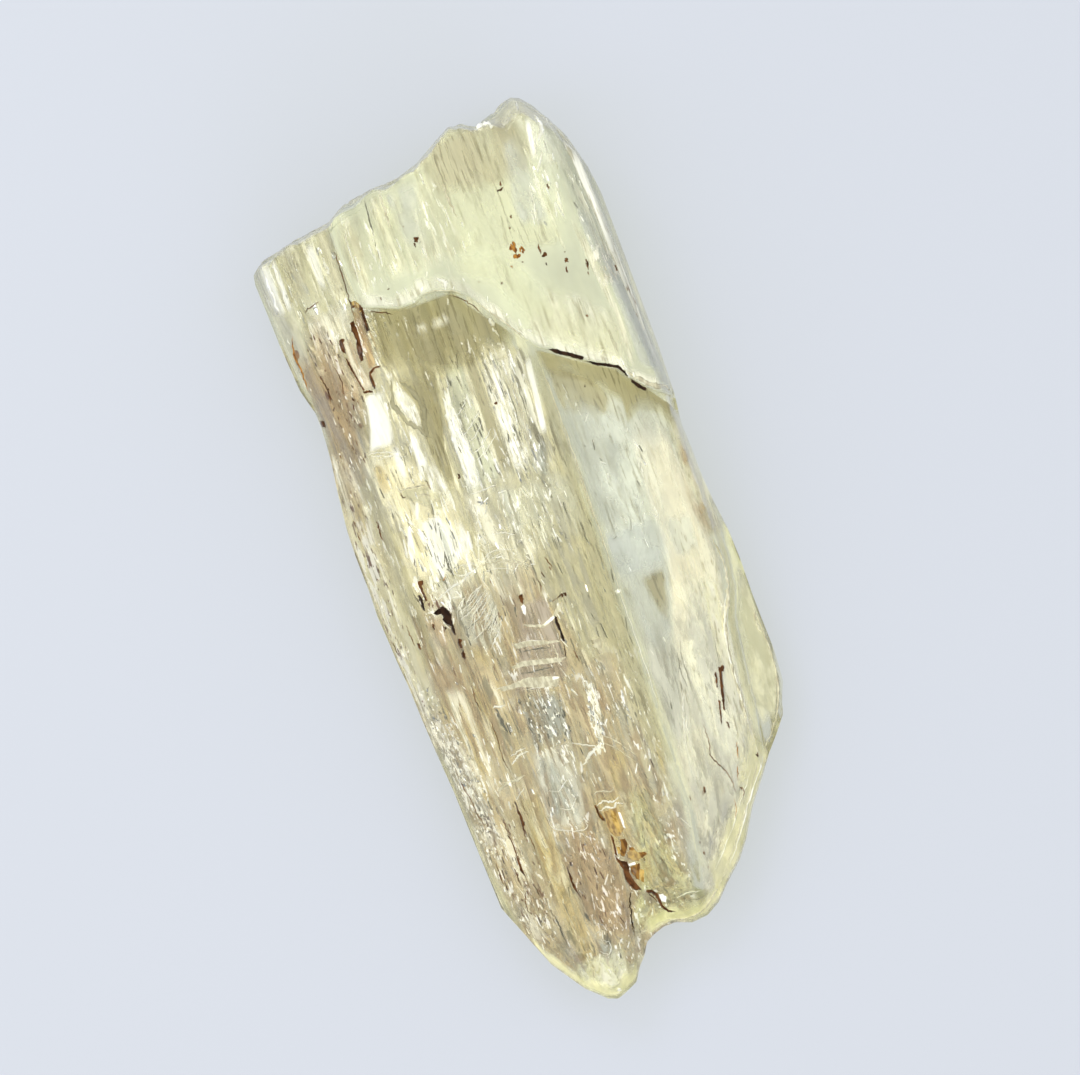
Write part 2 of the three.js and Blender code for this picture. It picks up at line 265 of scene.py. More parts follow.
def upper_bevel(across, y):
    """How far the steep face of the upper end runs along c."""
    chip_share = smooth(across, *CHIPPED_PART)
    return UPPER_BEVEL + (CHIP_BEVEL - UPPER_BEVEL) * chip_share + bevel_wander(across, y)


def end_fullness(across, y):
    """0 at an end of the crystal and 1 past the bevel there."""
    upper = (read_at(UPPER_END, across) - y) / upper_bevel(across, y)
    lower = (y - read_at(LOWER_END, across)) / (LOWER_BEVEL + 2 * bevel_wander(across, y))
    return np.clip(np.minimum(upper, lower), 0, 1) ** BEVEL_POWER


def chipped(across, x, y, z):
    """The y of points of the surface once the broken upper end is chipped."""
    near = 1 - smooth(read_at(UPPER_END, across) - y, 0, CHIP_REACH)
    broad = smooth(rough(x * 0.8, z * 0.55, 51), -0.2, 0.9)
    fine = smooth(rough(x * 2.3, z * 1.6, 55), 0.0, 1.0)
    return y - CHIP_DEPTH * near * (0.75 * broad + 0.25 * fine)


RIB_HEIGHT, STRIA_HEIGHT = 0.11, 0.05


def striae(place, y):
    """Fine ribs along c. place counts creases, so that the ribs run with them."""
    broad = noise(place * 1.9, y / 15, 11, crisp=True)
    fine = noise(place * 4.6, y / 9, 12, crisp=True)
    return RIB_HEIGHT * broad + STRIA_HEIGHT * fine


CREASE_WANDER = 1.2  # how far along c the creases are read from where they are given
SHOULDER_RUN = 0.3  # the step comes in over this much past the shoulder
# The ribs of the lower face and of the slab die out between these x.
RIBBED_TO, SLAB_RIBBED_TO = (0.8, 2.2), (-6, -3)


def front_height(across, x, y, on_slab):
    """Height of the front, read from the slab's creases or from those of the lower face."""
    wander = CREASE_WANDER * noise(across * 0.9, y * 0.05, 3)
    slab, slab_place = ruled(SLAB_CREASES, x, y + wander)
    lower, lower_place = ruled(LOWER_CREASES, x, y + wander)
    shoulder_share = smooth(y + wander, BLEND_LOW, BLEND_HIGH)
    shoulder = lower + (slab - lower) * shoulder_share
    beside = 1 - smooth(across, SHOULDER, SHOULDER + SHOULDER_RUN)
    level = np.where(on_slab, slab, lower)
    level = level + (shoulder - level) * beside
    ribbed = 1 - smooth(x, *RIBBED_TO)
    slab_ribbed = 0.15 + 0.5 * (1 - smooth(x, *SLAB_RIBBED_TO))
    amount = np.where(on_slab, slab_ribbed, 0.1 + 0.9 * ribbed)
    level = level + amount * np.where(on_slab, striae(slab_place, y), striae(lower_place, y))
    level = level + (0.008 + 0.03 * ribbed) * rough(x * 0.8, y * 0.4, 21)
    rim = rim_at(across, y, 2)
    return rim + (np.maximum(level, rim) - rim) * end_fullness(across, y)


BACK_LEFT, BACK_RIGHT = -9.2, 10.3  # the flat of the back lies between these places across
# The flutes of the back come in between the first two of these y and die out between the next two, and
# between the two x towards the right.
FLUTED_FOOT, FLUTED_TOP, FLUTED_RIGHT = (-29, -22), (10, 18), (0.5, 2.5)


def back_height(across, x, y):
    """Height of the back: flat in the middle, rising to the long edges, and fluted at the lower left."""
    left = (BACK_LEFT - across) / (HALF_WIDTH + BACK_LEFT)
    right = (across - BACK_RIGHT) / (HALF_WIDTH - BACK_RIGHT)
    rim = rim_at(across, y, 1)
    level = rim * np.clip(np.maximum(left, right), 0, 1)
    fluted = (1 - smooth(x, *FLUTED_RIGHT)) * (1 - smooth(y, *FLUTED_TOP)) * smooth(y, *FLUTED_FOOT)
    broad = noise(across * 0.75, y / 24, 31, crisp=True)
    narrow = noise(across * 2.1, y / 14, 32, crisp=True)
    ribs = (0.03 + 0.50 * fluted) * broad + (0.02 + 0.14 * fluted) * narrow
    level = np.maximum(level + ribs, 0)
    return rim + (level - rim) * end_fullness(across, y)


def kept_inside(x, y, margin):
    """The nearest plan point that is at least a margin inside the crystal's outline."""
    across = np.clip(across_at(x, y), margin - HALF_WIDTH, HALF_WIDTH - margin)
    highest = read_at(UPPER_END, across) - CHIP_REACH / 2 - margin
    y = np.clip(y, read_at(LOWER_END, across) + margin, highest)
    return place_x(across, y), y


def top_at(x, y):
    """Height of the front over any point of the plan."""
    x, y = np.asarray(x, float), np.asarray(y, float)
    across = across_at(x, y)
    return front_height(across, x, y, y > read_at(SLAB_EDGE, across))


def bottom_at(x, y):
    """Height of the back over any point of the plan."""
    x, y = np.asarray(x, float), np.asarray(y, float)
    return back_height(across_at(x, y), x, y)


# ---------------------------------------------------------------- zones of the front

# A zone is the part of the plan between two lines. Each line is a few points, as x, y, x, y and so on, and
# both run the same way. A zone whose name begins with slab lies on the slab.
SLAB_LINE = plan_line([(across, y) for across, y in SLAB_EDGE if across > SHOULDER])
TOP_LINE = plan_line([(across, y) for across, y in UPPER_END if across > SHOULDER])
TOP_ALL = plan_line(UPPER_END)
FOOT_MARGIN = 0.15  # how far the bands of the lower end keep from its rim


def shifted(line, rise):
    """A line of plan points, raised along c."""
    return tuple((x, y + rise) for x, y in line)


def foot_band(low, high, width):
    """The lower end's rim between two places across it, and the line that lies a width above it."""
    rim = [(across, y) for across, y in LOWER_END if low <= across <= high]
    return plan_line(rim, FOOT_MARGIN), plan_line(rim, width)


ZONES = {
    # the whole of the lower body, the left part of the upper end and the right-hand face
    "body": ((-6.9, -29, -10.2, -25, -11, -18, -11.3, -10, -11.7, -3, -11.7, 6, -11.1, 12, -11.2, 20.5),
        (-4.6, -28.6, 1.6, -26.6, 3.2, -18, 3.6, -8, 3.8, 0, 4, 8, 3.8, 13.4, -6.3, 20.5)),
    "left_crown": ((-11.5, 20, -12, 22.5, -12.1, 25.2), (-6.4, 20, -6.3, 22.5, -6.2, 26.4)),
    "right_face": ((2, -26.6, 3.4, -18, 3.7, -8, 3.9, 0, 4.1, 12.8), (2.4, -26.4, 8.7, -18.3, 10, -8,
        11.3, 0, 11.4, 7.6)),
    "right_lower_face": ((2, -26.2, 3.4, -18, 3.7, -6), (2.6, -26, 8.6, -18.3, 10.2, -6)),
    "crown_rim": (shifted(TOP_ALL, -0.95), shifted(TOP_ALL, -0.1)),
    "edge_light": ((10.9, 8.4, 10.9, 16, 10.8, 20, 10.5, 26), (11.6, 8, 11.6, 16, 11.5, 20, 11.2, 26)),
    "edge_haze": ((10.2, 8.6, 10.1, 16, 9.7, 20, 9.6, 23), (11.1, 8, 11.1, 16, 11, 20, 10.8, 23)),
    "honey_strip": ((-7, 15.8, -6.95, 17.5, -6.8, 19.8), (-6.45, 15.9, -6.15, 17.5, -6.1, 20.3)),
    "arch": ((-7.8, 14.6, -8.1, 16.5, -8.15, 18.3), (-7.05, 14.6, -7.35, 16.5, -7.6, 18.3)),
    "crown_streak_1": ((-11.7, 21.2, -11.7, 25.1), (-11, 21, -10.95, 25.1)),
    "crown_streak_2": ((-10.8, 21, -10.75, 25.3), (-10.45, 21.2, -10.4, 25.3)),
    "crown_streak_3": ((-8.3, 22, -8.2, 25.4), (-7.75, 21.6, -7.5, 25.2)),
    "right_low": ((2.5, -25.4, 3.3, -20, 3.6, -14), (3.4, -25, 7, -20, 8.6, -14)),
    "olive_flecks": ((-3.4, 16.6, -3.4, 17.8), (-0.5, 16.8, -0.6, 17.9)),
    "slab_peak": ((5.8, 28, 7.4, 28.4, 8.6, 28, 10, 26.6), (6.2, 29.1, 7.6, 29.7, 8.7, 29.85, 10.1, 28.6)),
    "slab_mist": ((9.6, 21.2, 9.8, 18, 10.2, 15.5, 10.2, 9.6), (10.9, 21.6, 10.9, 18, 11.4, 15.5,
        11.5, 8.8)),
    "slab_cool": ((5.4, 21.2, 6, 25, 6.4, 28), (8, 20.4, 8.2, 24, 8.4, 27.4)),
    "slab_white": ((8, 25, 8.3, 26.8, 8.6, 28.3), (8.5, 25, 8.9, 27, 9.2, 28.3)),
    "slab_shade": ((-6, 21.4, -6, 26), (-3.9, 21.2, -3.9, 26.4)),
    "slab_grey": ((-2.1, 21.4, -2, 27), (0.3, 21.2, 0.4, 27.2)),
    "slab_white_low": ((7.6, 22.4, 7.9, 23.6, 8.1, 24.8), (8.1, 22.4, 8.5, 23.6, 8.6, 24.8)),
    "slab_flecks": ((9.4, 15.6, 9.6, 18.8), (11.4, 15.4, 11.3, 18.6)),
    "slab_right": ((9.9, 17, 9.8, 22, 9.7, 26.8), (11.65, 17, 11.5, 22, 10.9, 26.6)),
    "peak": ((7.6, 24, 8.2, 27, 7.2, 29.2), (10.4, 24, 10.4, 27, 9.8, 29.6)),
    # the slab
    "slab": (SLAB_LINE, TOP_LINE),
    "slab_heart": ((0, 20.5, 3, 17.5, 4.6, 13.4, 9, 10.6), (-1, 22.5, 4, 21, 7, 17, 9.4, 14)),
    "slab_crown": ((0.6, 25, 3, 24.4, 7.2, 24.2, 9, 25.6), (0.8, 27.7, 3.6, 29.3, 6, 28.8, 8.8, 29.4)),
    "slab_upper": ((-5.9, 20.6, -1, 21.5, 4, 20, 9.2, 19), (-5.8, 26.2, -1, 27.3, 4, 29, 9, 27)),
    "slab_lip": (shifted(SLAB_LINE, 0.1), shifted(SLAB_LINE, 1.3)),
    "slab_low_right": ((3.6, 14.6, 6, 12.8, 9.4, 9.9), (5.6, 17.5, 8, 16, 10.6, 13.6)),
    "slab_bloom": ((6.4, 20.8, 7.4, 23.5, 8.2, 26.6, 9, 28.6), (8.6, 20.5, 9.3, 23, 10.2, 26, 10.2, 28)),
    "slab_stripes": ((-5.7, 20.4, -5.6, 26.2), (2.4, 20.6, 2.4, 27)),
    "slab_left_cream": ((-3.2, 23, -3, 26.8), (-2.2, 23.2, -2.1, 27)),
    "slab_rim_line": ((9.4, 9.6, 9.7, 14, 9.2, 18.2, 9, 23), (10.3, 8.6, 10.2, 14, 9.9, 18, 9.8, 23)),
    # the shoulder and the left side
    "shoulder": ((-11.4, 17.4, -11.5, 16, -11.2, 13.5, -11, 10), (-9.2, 20.4, -8.2, 17.4, -7.8, 14.6,
        -9.3, 10)),
    "shoulder_pocket": ((-8.4, 14.4, -8.5, 16.4, -7.6, 18.6), (-6.8, 14.4, -6.3, 16.2, -6.3, 19.4)),
    "left_gold": ((-11.6, 19, -11.2, 13, -11.6, 7, -11.8, 2), (-10.3, 19, -10, 13, -10.5, 7, -10.9, 2)),
    "shoulder_deep": ((-10.9, 16.6, -10.7, 14), (-8.7, 17.3, -8.9, 14)),
    "shoulder_grey": ((-9.3, 10.6, -9, 14.6), (-8.9, 10.6, -8.4, 14.6)),
    "shoulder_low": ((-11.2, 8.5, -10.9, 12, -10.9, 15), (-9.3, 8.5, -9.2, 12, -9.2, 15)),
    "olive_panel": ((-10.3, 25.4, -10.5, 21.4), (-8.7, 25.6, -8.8, 21.6)),
    "left_border": ((-12, 12, -12.2, 4, -12.1, -3, -11.8, -10), (-10.2, 12, -10.3, 4, -10.9, -3,
        -10.9, -10)),
    "left_tan": ((-11.9, 13, -12.1, 4, -12.1, -3, -11.8, -9), (-10.9, 13, -11, 4, -11.1, -3, -11, -9)),
    "left_smooth": ((-10.4, 9, -10.9, 0, -10.7, -5), (-9.2, 9, -9.2, 0, -9.4, -4)),
    "left_frost": ((-11.7, -5.6, -11.5, -9, -11.2, -13, -10.8, -18), (-10.6, -5.6, -9.8, -9, -9.2, -13,
        -9.6, -18)),
    "left_low": ((-10.9, -15, -10.8, -20, -9.6, -25), (-7.6, -15, -7.7, -20, -7.8, -25)),
    # under the step, where the olive films and tints are painted shade
    "step_shade": ((-6.1, 15.6, -2.5, 13.6, 0.6, 13.8, 2.6, 14.2), (-5.7, 19.6, -3, 18.9, 0, 18.9,
        3, 14.6)),
    "dark_band": ((-4.8, 6.2, -5.05, 9, -4.9, 12, -5.6, 15), (-4.2, 6.2, -4, 9, -3.2, 11.4, -2.5, 15)),
    "glint_left": ((-6.2, 5, -5.6, 8.6), (-4.6, 5, -4.9, 8.6)),
    "glint_mid": ((-1.3, 0.6, -1.2, 4.6), (1.2, 0.6, 1.4, 4.6)),
    "leaf": ((-5.1, 10.9, -5.9, 12.4, -5.95, 13.6, -5.75, 14.2), (-5, 10.9, -4.65, 12, -4.8, 13,
        -5.5, 14.2)),
    "leaf_low": ((-5.7, 7.7, -6.25, 9.5, -6.1, 11.3), (-5.5, 7.7, -5.2, 9.3, -5.35, 11.3)),
    "bright_band": ((-3.6, 5.2, -3.2, 9, -2.7, 12, -2.3, 14.6), (-1, 5.6, -0.95, 9, -0.9, 12, -0.8, 14.6)),
    "bright_edge": ((-3.55, 5.6, -3.15, 9, -2.75, 12.4), (-2.5, 5.7, -2.35, 9, -2.6, 12.4)),
    "narrow_dark": ((-0.9, 6.2, -0.9, 10, -0.7, 14.8), (-0.25, 6.2, -0.15, 10, -0.1, 14.8)),
    "white_band": ((-0.2, 5.6, -0.1, 10, 0, 14), (1.3, 5.8, 1.35, 10, 1.5, 14)),
    "grey_stripes": ((1.3, 5, 1.4, 9, 1.5, 13.6), (2.3, 6.5, 2.6, 10, 3.1, 13.6)),
    "brilliant_strip": ((2.35, 7.6, 2.65, 9.8, 3.1, 12.9), (2.95, 7.7, 3.25, 10, 3.6, 13.1)),
    "grey_patch": ((1.6, 4.8, 1.35, 6, 2.1, 7.6), (1.9, 4.8, 2.35, 6.2, 2.8, 7.7)),
    "khaki_broad": ((-1, -8, -0.9, 0, -1, 5.6), (3.6, -8, 3.8, 0, 3.9, 5.6)),
    "khaki_band": ((2.2, -16, 1.8, -8, 2.3, 0, 2.8, 5, 3.5, 13), (3.3, -16, 3.6, -8, 3.8, 0, 3.9, 5,
        4.1, 13)),
    "khaki_low": ((-1.8, -8, 0.6, -12, 0.7, -16, 0.4, -20), (2.2, -8, 2.9, -12, 2.3, -16, 1.6, -20)),
    # left of the middle
    "brilliant_facet": ((-9, 10.45, -8.4, 12, -7.9, 14.3), (-6.95, 10.5, -6.75, 11.8, -6.5, 14.3)),
    "yellow_field": ((-9.1, 4.6, -9, 10.3), (-5.3, 5.2, -6.6, 10.2)),
    "gold_smear": ((-9.1, 7.4, -9, 9.8), (-8, 7.8, -8.4, 9.6)),
    "white_field": ((-8.6, 0.8, -9.2, 3, -8.8, 5.6), (-5, 0.8, -4.5, 3, -4.7, 6.4)),
    "white_mass": ((-7.3, 0.9, -7.5, 2.2, -7.3, 3.6, -7.2, 5), (-5.9, 1.2, -5.1, 2.4, -5.2, 3.8, -6, 5.2)),
    "white_slash_1": ((-8.9, 2.4, -8.8, 3.4, -8.3, 5), (-8.5, 2.4, -8.2, 3.6, -8, 5.1)),
    "white_slash_2": ((-7.5, 5.2, -7.3, 5.9, -7.05, 6.6), (-7.3, 5.1, -6.95, 5.9, -6.7, 6.6)),
    "white_slash_3": ((-6.3, 7.6, -6.2, 9.4, -6, 11), (-5.9, 7.6, -5.65, 9.4, -5.5, 11)),
    "white_slash_4": ((-5.3, 1.6, -5.1, 3, -5, 4.4), (-4.9, 1.6, -4.6, 3, -4.7, 4.4)),
    "white_shaft": ((-7.6, 7.6, -7.55, 9, -7.4, 10.5), (-7, 7.6, -6.85, 9, -6.8, 10.5)),
    "white_lines": ((-6.5, 1.4, -6.4, 3, -6.25, 4.6), (-6, 1.4, -5.9, 3, -5.8, 4.6)),
    "beige_chip": ((-7.9, 6.9, -7, 6.3, -6.2, 5.4, -5.4, 5.2), (-7.8, 7.5, -6.9, 7.4, -6, 7.1, -4.9, 6)),
    "cream_field": ((-9, -2.6, -8.9, 0.9), (-7.3, -2.2, -4.6, 0.9)),
    "star_field": ((-4.6, 0.2, -3.9, 5.2), (-1, -0.6, -1.1, 5.2)),
    "star_pale": ((-2.4, 0, -2, 3, -1.8, 5.8), (3.4, 0.2, 3.6, 3, 3.4, 5.6)),
    "star_core": ((-4.2, -2.2, -4.3, -0.4, -4, 1.2), (-2.2, -2, -1.8, -0.6, -1.8, 1.2)),
    "shoulder_pale": ((-10, 17.9, -9.9, 20.6), (-7.2, 18.3, -6.9, 20.6)),
    "left_pale": ((-11.7, 16.8, -11.9, 19.4, -12, 22), (-10.4, 17.4, -10.1, 19.4, -10.1, 22)),
    "left_warm": ((-11.9, -8, -12.1, -3, -12.1, 8), (-10, -8, -9.9, -3, -10.2, 8)),
    "left_core": ((-8.1, -14, -8.1, -6.2), (-6.1, -14, -5.9, -6.2)),
    "mid_shade": ((4, 0.2, 4, -1.6, 4, -3.8), (7.7, 0.2, 8.3, -1.6, 7.3, -3.8)),
    "cream_shade": ((8, -0.2, 8.2, -3.4), (10.1, -0.2, 9.9, -3.4)),
    "tan_strip": ((-7.35, 20.8, -7.45, 26.2), (-5.9, 20.8, -5.85, 26.4)),
    "seam_pale": ((-8.1, 18.2, -8.1, 21), (-7.2, 18.2, -7.3, 21)),
    "left_flank": ((-10.6, -15, -10.8, -6), (-8, -15, -8.4, -6)),
    "feather_lens": ((-5.9, -4.8, -7, -3.9, -7.4, -2.2, -6.2, -0.4), (-5.7, -4.8, -4.5, -3.4, -4.2, -1.9,
        -4.7, -0.2)),
    "feather_deep": ((-5.2, -2.8, -4.9, -0.6), (-4.1, -2.4, -4.6, -0.4)),
    "gold_wedge": ((-6.35, -6.7, -6.85, -5.2, -6.9, -4), (-6.25, -6.7, -5.9, -5.2, -5.9, -4.3)),
    "beige_left": ((-10.6, -7, -10.4, -3.5), (-7.4, -7, -7.9, -3.5)),
    # the ladder and the block under it
    "ladder": ((-5.4, -8.2, -4.4, -6, -3.6, -4, -3, -2.4), (-1.9, -8.6, -1, -7.4, -0.95, -5, -1, -2.4)),
    "block_upper": ((-5.3, -12.4, -5.2, -8.2), (-2.6, -12.4, -2.3, -8.8)),
    "block_lower": ((-5.8, -17.8, -6, -16.4, -5.5, -12.2), (-3.7, -18.3, -3, -15, -2.8, -12.2)),
    "white_column": ((-1.35, -13.8, -0.95, -11, -0.65, -8.6), (-0.8, -13.8, -0.2, -11, -0.1, -8.6)),
    "tan_patch": ((0.1, -11.6, 0.1, -9.4, 0.2, -7.2), (2.3, -11.6, 2.3, -9.4, 2.4, -7.2)),
    "mid_pale_1": ((-4.1, 3.4, -3.9, 6.4), (-1.9, 3.4, -1.9, 6.4)),
    "mid_pale_2": ((-2.1, -0.6, -2, 2.6), (0.4, -0.6, 0.5, 2.6)),
    # the right side
    "facet": ((4.1, -3, 4.2, 4, 4.5, 11.4), (8.6, -3, 8.9, 3, 8.2, 6.4)),
    "facet_top": ((4.1, 12.6, 6.6, 10.8, 8, 8.4), (4.1, 8.2, 5.4, 8, 6.6, 7.2)),
    "facet_light": ((4.2, -1.5, 4.3, 6.5), (6.4, -1.5, 7, 6.5)),
    "facet_low": ((4.2, -9, 4.4, -5, 4.4, -2), (5.7, -9, 7.3, -5, 8.2, -2)),
    "facet_edge": ((7.7, 3.2, 8, 6.4), (9.8, 3.2, 9.8, 6.8)),
    "facet_shade": ((5.5, -8.2, 5.7, -5, 5.4, -3.2), (6.2, -8, 6.7, -5, 7.4, -2.8)),
    "facet_cloud": ((4, -9, 4.2, -3, 4.3, 3), (6.2, -9, 7.4, -3, 8, 3)),
    "under_step": ((4.1, 11.4, 6, 10.4, 7.4, 9, 8.3, 7.8, 8.1, 6.4, 9.2, 7.1, 10.4, 6.4, 11.2, 4.8),
        (4, 13.3, 6, 11.9, 7.4, 11, 8.6, 10.3, 9, 9.7, 9.7, 8.8, 10.4, 8, 11.5, 6.4)),
    "olive_patch": ((5.3, -3.4, 5.6, -6, 6.2, -7.6), (7.1, -3.2, 6.9, -5.4, 6.4, -7.6)),
    "cream_band": ((3.7, -20, 4.4, -16, 5.3, -11, 6.4, -7, 7.4, -3, 7.8, 6), (8.4, -19, 9.1, -16, 9.3, -12,
        9.9, -8, 10.9, -4, 10.4, 6)),
    "cream_core": ((4.6, -19, 6, -13, 7, -8, 7.8, -4), (8.2, -18, 8.8, -13, 9.3, -8, 10.2, -4)),
    "right_seam": ((3.9, -18.4, 4.3, -15, 5, -12.4, 5.9, -9.6), (4.6, -18.4, 5, -15, 5.7, -12.4,
        6.5, -9.6)),
    "cream_border": ((9.1, -4.6, 8.6, -9, 8.1, -13, 7.6, -17.2, 6.4, -19.6), (10.1, -5.4, 9.6, -9, 9.1, -13,
        8.75, -16.8, 7.4, -19)),
    "cream_low": ((1.9, -25.4, 2.9, -22, 3.5, -18), (2.3, -25.6, 6, -22, 8.7, -17.8)),
    "right_border": ((10.7, -2.6, 10.2, 0.5, 10.6, 3, 10.9, 5.8), (11.9, -2.6, 11.6, 0.5, 11.4, 3,
        11.4, 5.8)),
    "right_brown": ((10.9, 1.9, 10.5, 3.6), (11.4, 1.9, 11.3, 4.6)),
    "right_brown_low": ((10.8, -2.8, 10.1, -0.2), (11.6, -2.6, 11.3, 0.2)),
    "lavender": ((1.3, -24.1, 1.3, -22, 2.3, -18), (2, -24.1, 2.9, -21, 3.3, -17)),
    "flange": ((11.5, -5, 11.1, -7.1, 10.3, -8.9, 9.75, -13, 9.5, -16.2), (12, -5, 12.2, -7, 12.2, -8.9,
        12.2, -12.6, 10.8, -15.9)),
    # near the back
    "back_left": ((-11.1, -23, -11.6, -6, -11.6, 8, -11.9, 25), (-8.4, -25, -8.6, -6, -8.6, 8, -8.6, 25)),
    "back_shoulder": ((-11.6, 2, -11.5, 12, -11.8, 22), (-8.6, 2, -8.6, 12, -8.6, 22)),
    "back_right": ((8.8, -14, 9.4, 0, 9.4, 26), (11.9, -13, 11.7, 0, 11.4, 26)),
    "back_middle": ((-8.4, -24, -8.6, 0, -8.6, 25), (6, -22, 9.4, -8, 9.4, 26)),
    # the lower end
    "lower_body": ((-7, -28.4, -10.2, -24, -10.9, -18, -11, -10, -10.8, -2, -9.2, 0.6), (-3.6, -28,
        1.4, -26.2, 2.6, -18, 2.2, -10, 0.2, -6.6, -0.8, 0.6)),
    "foot": foot_band(-3.3, 4.2, 1.5),
    "right_foot": foot_band(2, 10.4, 3.2),
    "left_foot": foot_band(-11, -4.4, 1.3),
    "rust_wash": ((-9.3, -3.9, -9.3, -1.2), (-8.1, -3.7, -8, -1.2)),
    "crack_gold": ((-9.3, -0.9, -9.2, 1.7), (-8.1, -0.9, -8.1, 1.5)),
    "amber_wash": ((-1.9, -23.6, -1.8, -20.6), (-0.5, -23.4, -0.5, -20.8)),
    "amber_wash_high": ((-3, -20.6, -2.9, -16.4), (-1, -20.4, -0.9, -16.4)),
    "rose_notch": ((-2.3, -23.5, -1.9, -24.1, -1.3, -24.9), (-1.5, -23.5, -1.1, -24, -0.95, -24.8)),
    "gold_field": ((-1.2, -17.2, -1.2, -15.4, -1, -13.4), (-0.5, -17, 0.2, -15.4, 0.9, -13.8)),
    "gold_right": ((2.4, -17, 2.2, -13.8), (2.8, -17, 3.2, -13.6)),
    "rose_field": ((-5, -26, -6, -23.6, -5.9, -20, -5.2, -18), (-3.4, -26.2, -2.6, -23.6, -2.7, -20.6,
        -3.7, -18.4)),
    "smooth_strip": ((-7, -28, -7.5, -24, -7.6, -19, -7.4, -15), (-6.2, -28, -6.1, -24, -6.1, -19,
        -6.1, -15)),
    "left_lobe": ((-7.6, -29.2, -7.8, -26.6), (-4.6, -29.2, -4.2, -26.6)),
    "right_lobe": ((-3.2, -26.2, -2.4, -23.8, -1.2, -21.6, -0.6, -17), (1.6, -26.4, 1.8, -24.4, 1.2, -21,
        0.8, -17)),
    "cavity": ((-5.85, -27.4, -6, -26.4, -5.6, -25.4), (-5.2, -27.6, -4.8, -26.6, -4.9, -25.6)),
}


def as_points(line):
    """The rows (x, y) of a line that is given as x, y, x, y, or as such rows already."""
    return np.reshape(np.array(line, float), (-1, 2))


TINY = 1e-9  # keeps a division by a squared length from failing


def lofted(zone, s, t):
    """The plan point at shares s along and t across a zone."""
    lines = []
    for line in ZONES[zone]:
        points = as_points(line)
        steps = np.hypot(*np.diff(points, axis=0).T)
        length = np.concatenate([[0], np.cumsum(steps)]) / steps.sum()
        lines.append((np.interp(s, length, points[:, 0]), np.interp(s, length, points[:, 1])))
    (x0, y0), (x1, y1) = lines
    return x0 + (x1 - x0) * t, y0 + (y1 - y0) * t


def inside(zone, x, y):
    """Distance from the zone's outline, positive inside it."""
    first, second = ZONES[zone]
    outline = np.concatenate([as_points(first), as_points(second)[::-1]])
    nearest = np.full(np.shape(x), np.inf)
    within = np.zeros(np.shape(x), bool)
    for (ax, ay), (bx, by) in zip(outline, np.roll(outline, -1, axis=0)):
        ex, ey = bx - ax, by - ay
        share = np.clip(((x - ax) * ex + (y - ay) * ey) / max(ex * ex + ey * ey, TINY), 0, 1)
        nearest = np.minimum(nearest, np.hypot(x - ax - share * ex, y - ay - share * ey))
        if ay != by:
            within ^= ((ay > y) != (by > y)) & (x < ax + (y - ay) / (by - ay) * ex)
    return np.where(within, nearest, -nearest)


# ---------------------------------------------------------------- meshes


def add_object(name, data):
    """A new object in the scene."""
    made = bpy.data.objects.new(name, data)
    bpy.context.scene.collection.objects.link(made)
    return made


def mesh_object(name, points, faces, material, shade_angle=None):
    """A mesh object of points in millimetres, with its material."""
    mesh = bpy.data.meshes.new(name)
    mesh.from_pydata(np.asarray(points) * MM, [], faces)
    mesh.validate()
    mesh.shade_smooth()
    if shade_angle is not None:
        mesh.set_sharp_from_angle(angle=math.radians(shade_angle))
    mesh.materials.append(material)
    return add_object(name, mesh)


def store(mesh, name, values, kind="FLOAT"):
    """Puts a value on each point of a mesh."""
    attribute = mesh.attributes.new(name, kind, "POINT")
    field = {"FLOAT": "value", "FLOAT_VECTOR": "vector", "FLOAT_COLOR": "color"}[kind]
    attribute.data.foreach_set(field, np.asarray(values, np.float32).ravel())


def grid_faces(columns, rows, flip, start=0):
    """Quads of a grid whose points are listed column by column."""
    c, r = np.meshgrid(np.arange(columns - 1), np.arange(rows - 1), indexing="ij")
    a = start + c * rows + r
    corners = (a, a + rows, a + rows + 1, a + 1)
    faces = np.stack(corners[::-1] if flip else corners, axis=-1)
    return faces.reshape(-1, 4)


def closed_grid(columns, rows):
    """Faces of a closed body whose upper points and then lower points form one grid over another."""
    count = columns * rows
    number = np.arange(count).reshape(columns, rows)
    faces = [grid_faces(columns, rows, False), grid_faces(columns, rows, True, count)]
    for loop in (number[:, 0], number[-1, :], number[::-1, -1], number[0, ::-1]):
        under = loop + count
        faces.append(np.stack([loop[:-1], under[:-1], under[1:], loop[1:]], axis=-1))
    return np.concatenate(faces)


BODY_SHADE_ANGLE = 50  # an edge sharper than this many degrees is shaded sharp
PACKING_BELOW, PACKING_ABOVE = 1.2, 1.5  # powers that crowd the rows towards the lower and the upper end


def crystal_surface(columns, rows_below, rows_above):
    """Points and faces of the closed surface of the crystal."""
    across_line = np.linspace(-HALF_WIDTH, HALF_WIDTH, columns)
    low, edge, high = (read_at(line, across_line) for line in (LOWER_END, SLAB_EDGE, UPPER_END))
    share_below = np.linspace(0, 1, rows_below) ** PACKING_BELOW
    share_above = 1 - np.linspace(1, 0, rows_above) ** PACKING_ABOVE
    below = low[:, None] + (edge - STEP_RUN / 2 - low)[:, None] * share_below
    above = edge[:, None] + STEP_RUN / 2 + (high - edge - STEP_RUN / 2)[:, None] * share_above
    y = np.concatenate([below, above], axis=1)
    on_slab = np.broadcast_to(np.arange(y.shape[1]) >= rows_below, y.shape)
    across = np.broadcast_to(across_line[:, None], y.shape)
    x = place_x(across, y)
    sides = []
    for z in (front_height(across, x, y, on_slab), back_height(across, x, y)):
        sides.append(np.stack([x, chipped(across, x, y, z), z], axis=-1).reshape(-1, 3))
    return np.concatenate(sides), closed_grid(*y.shape)


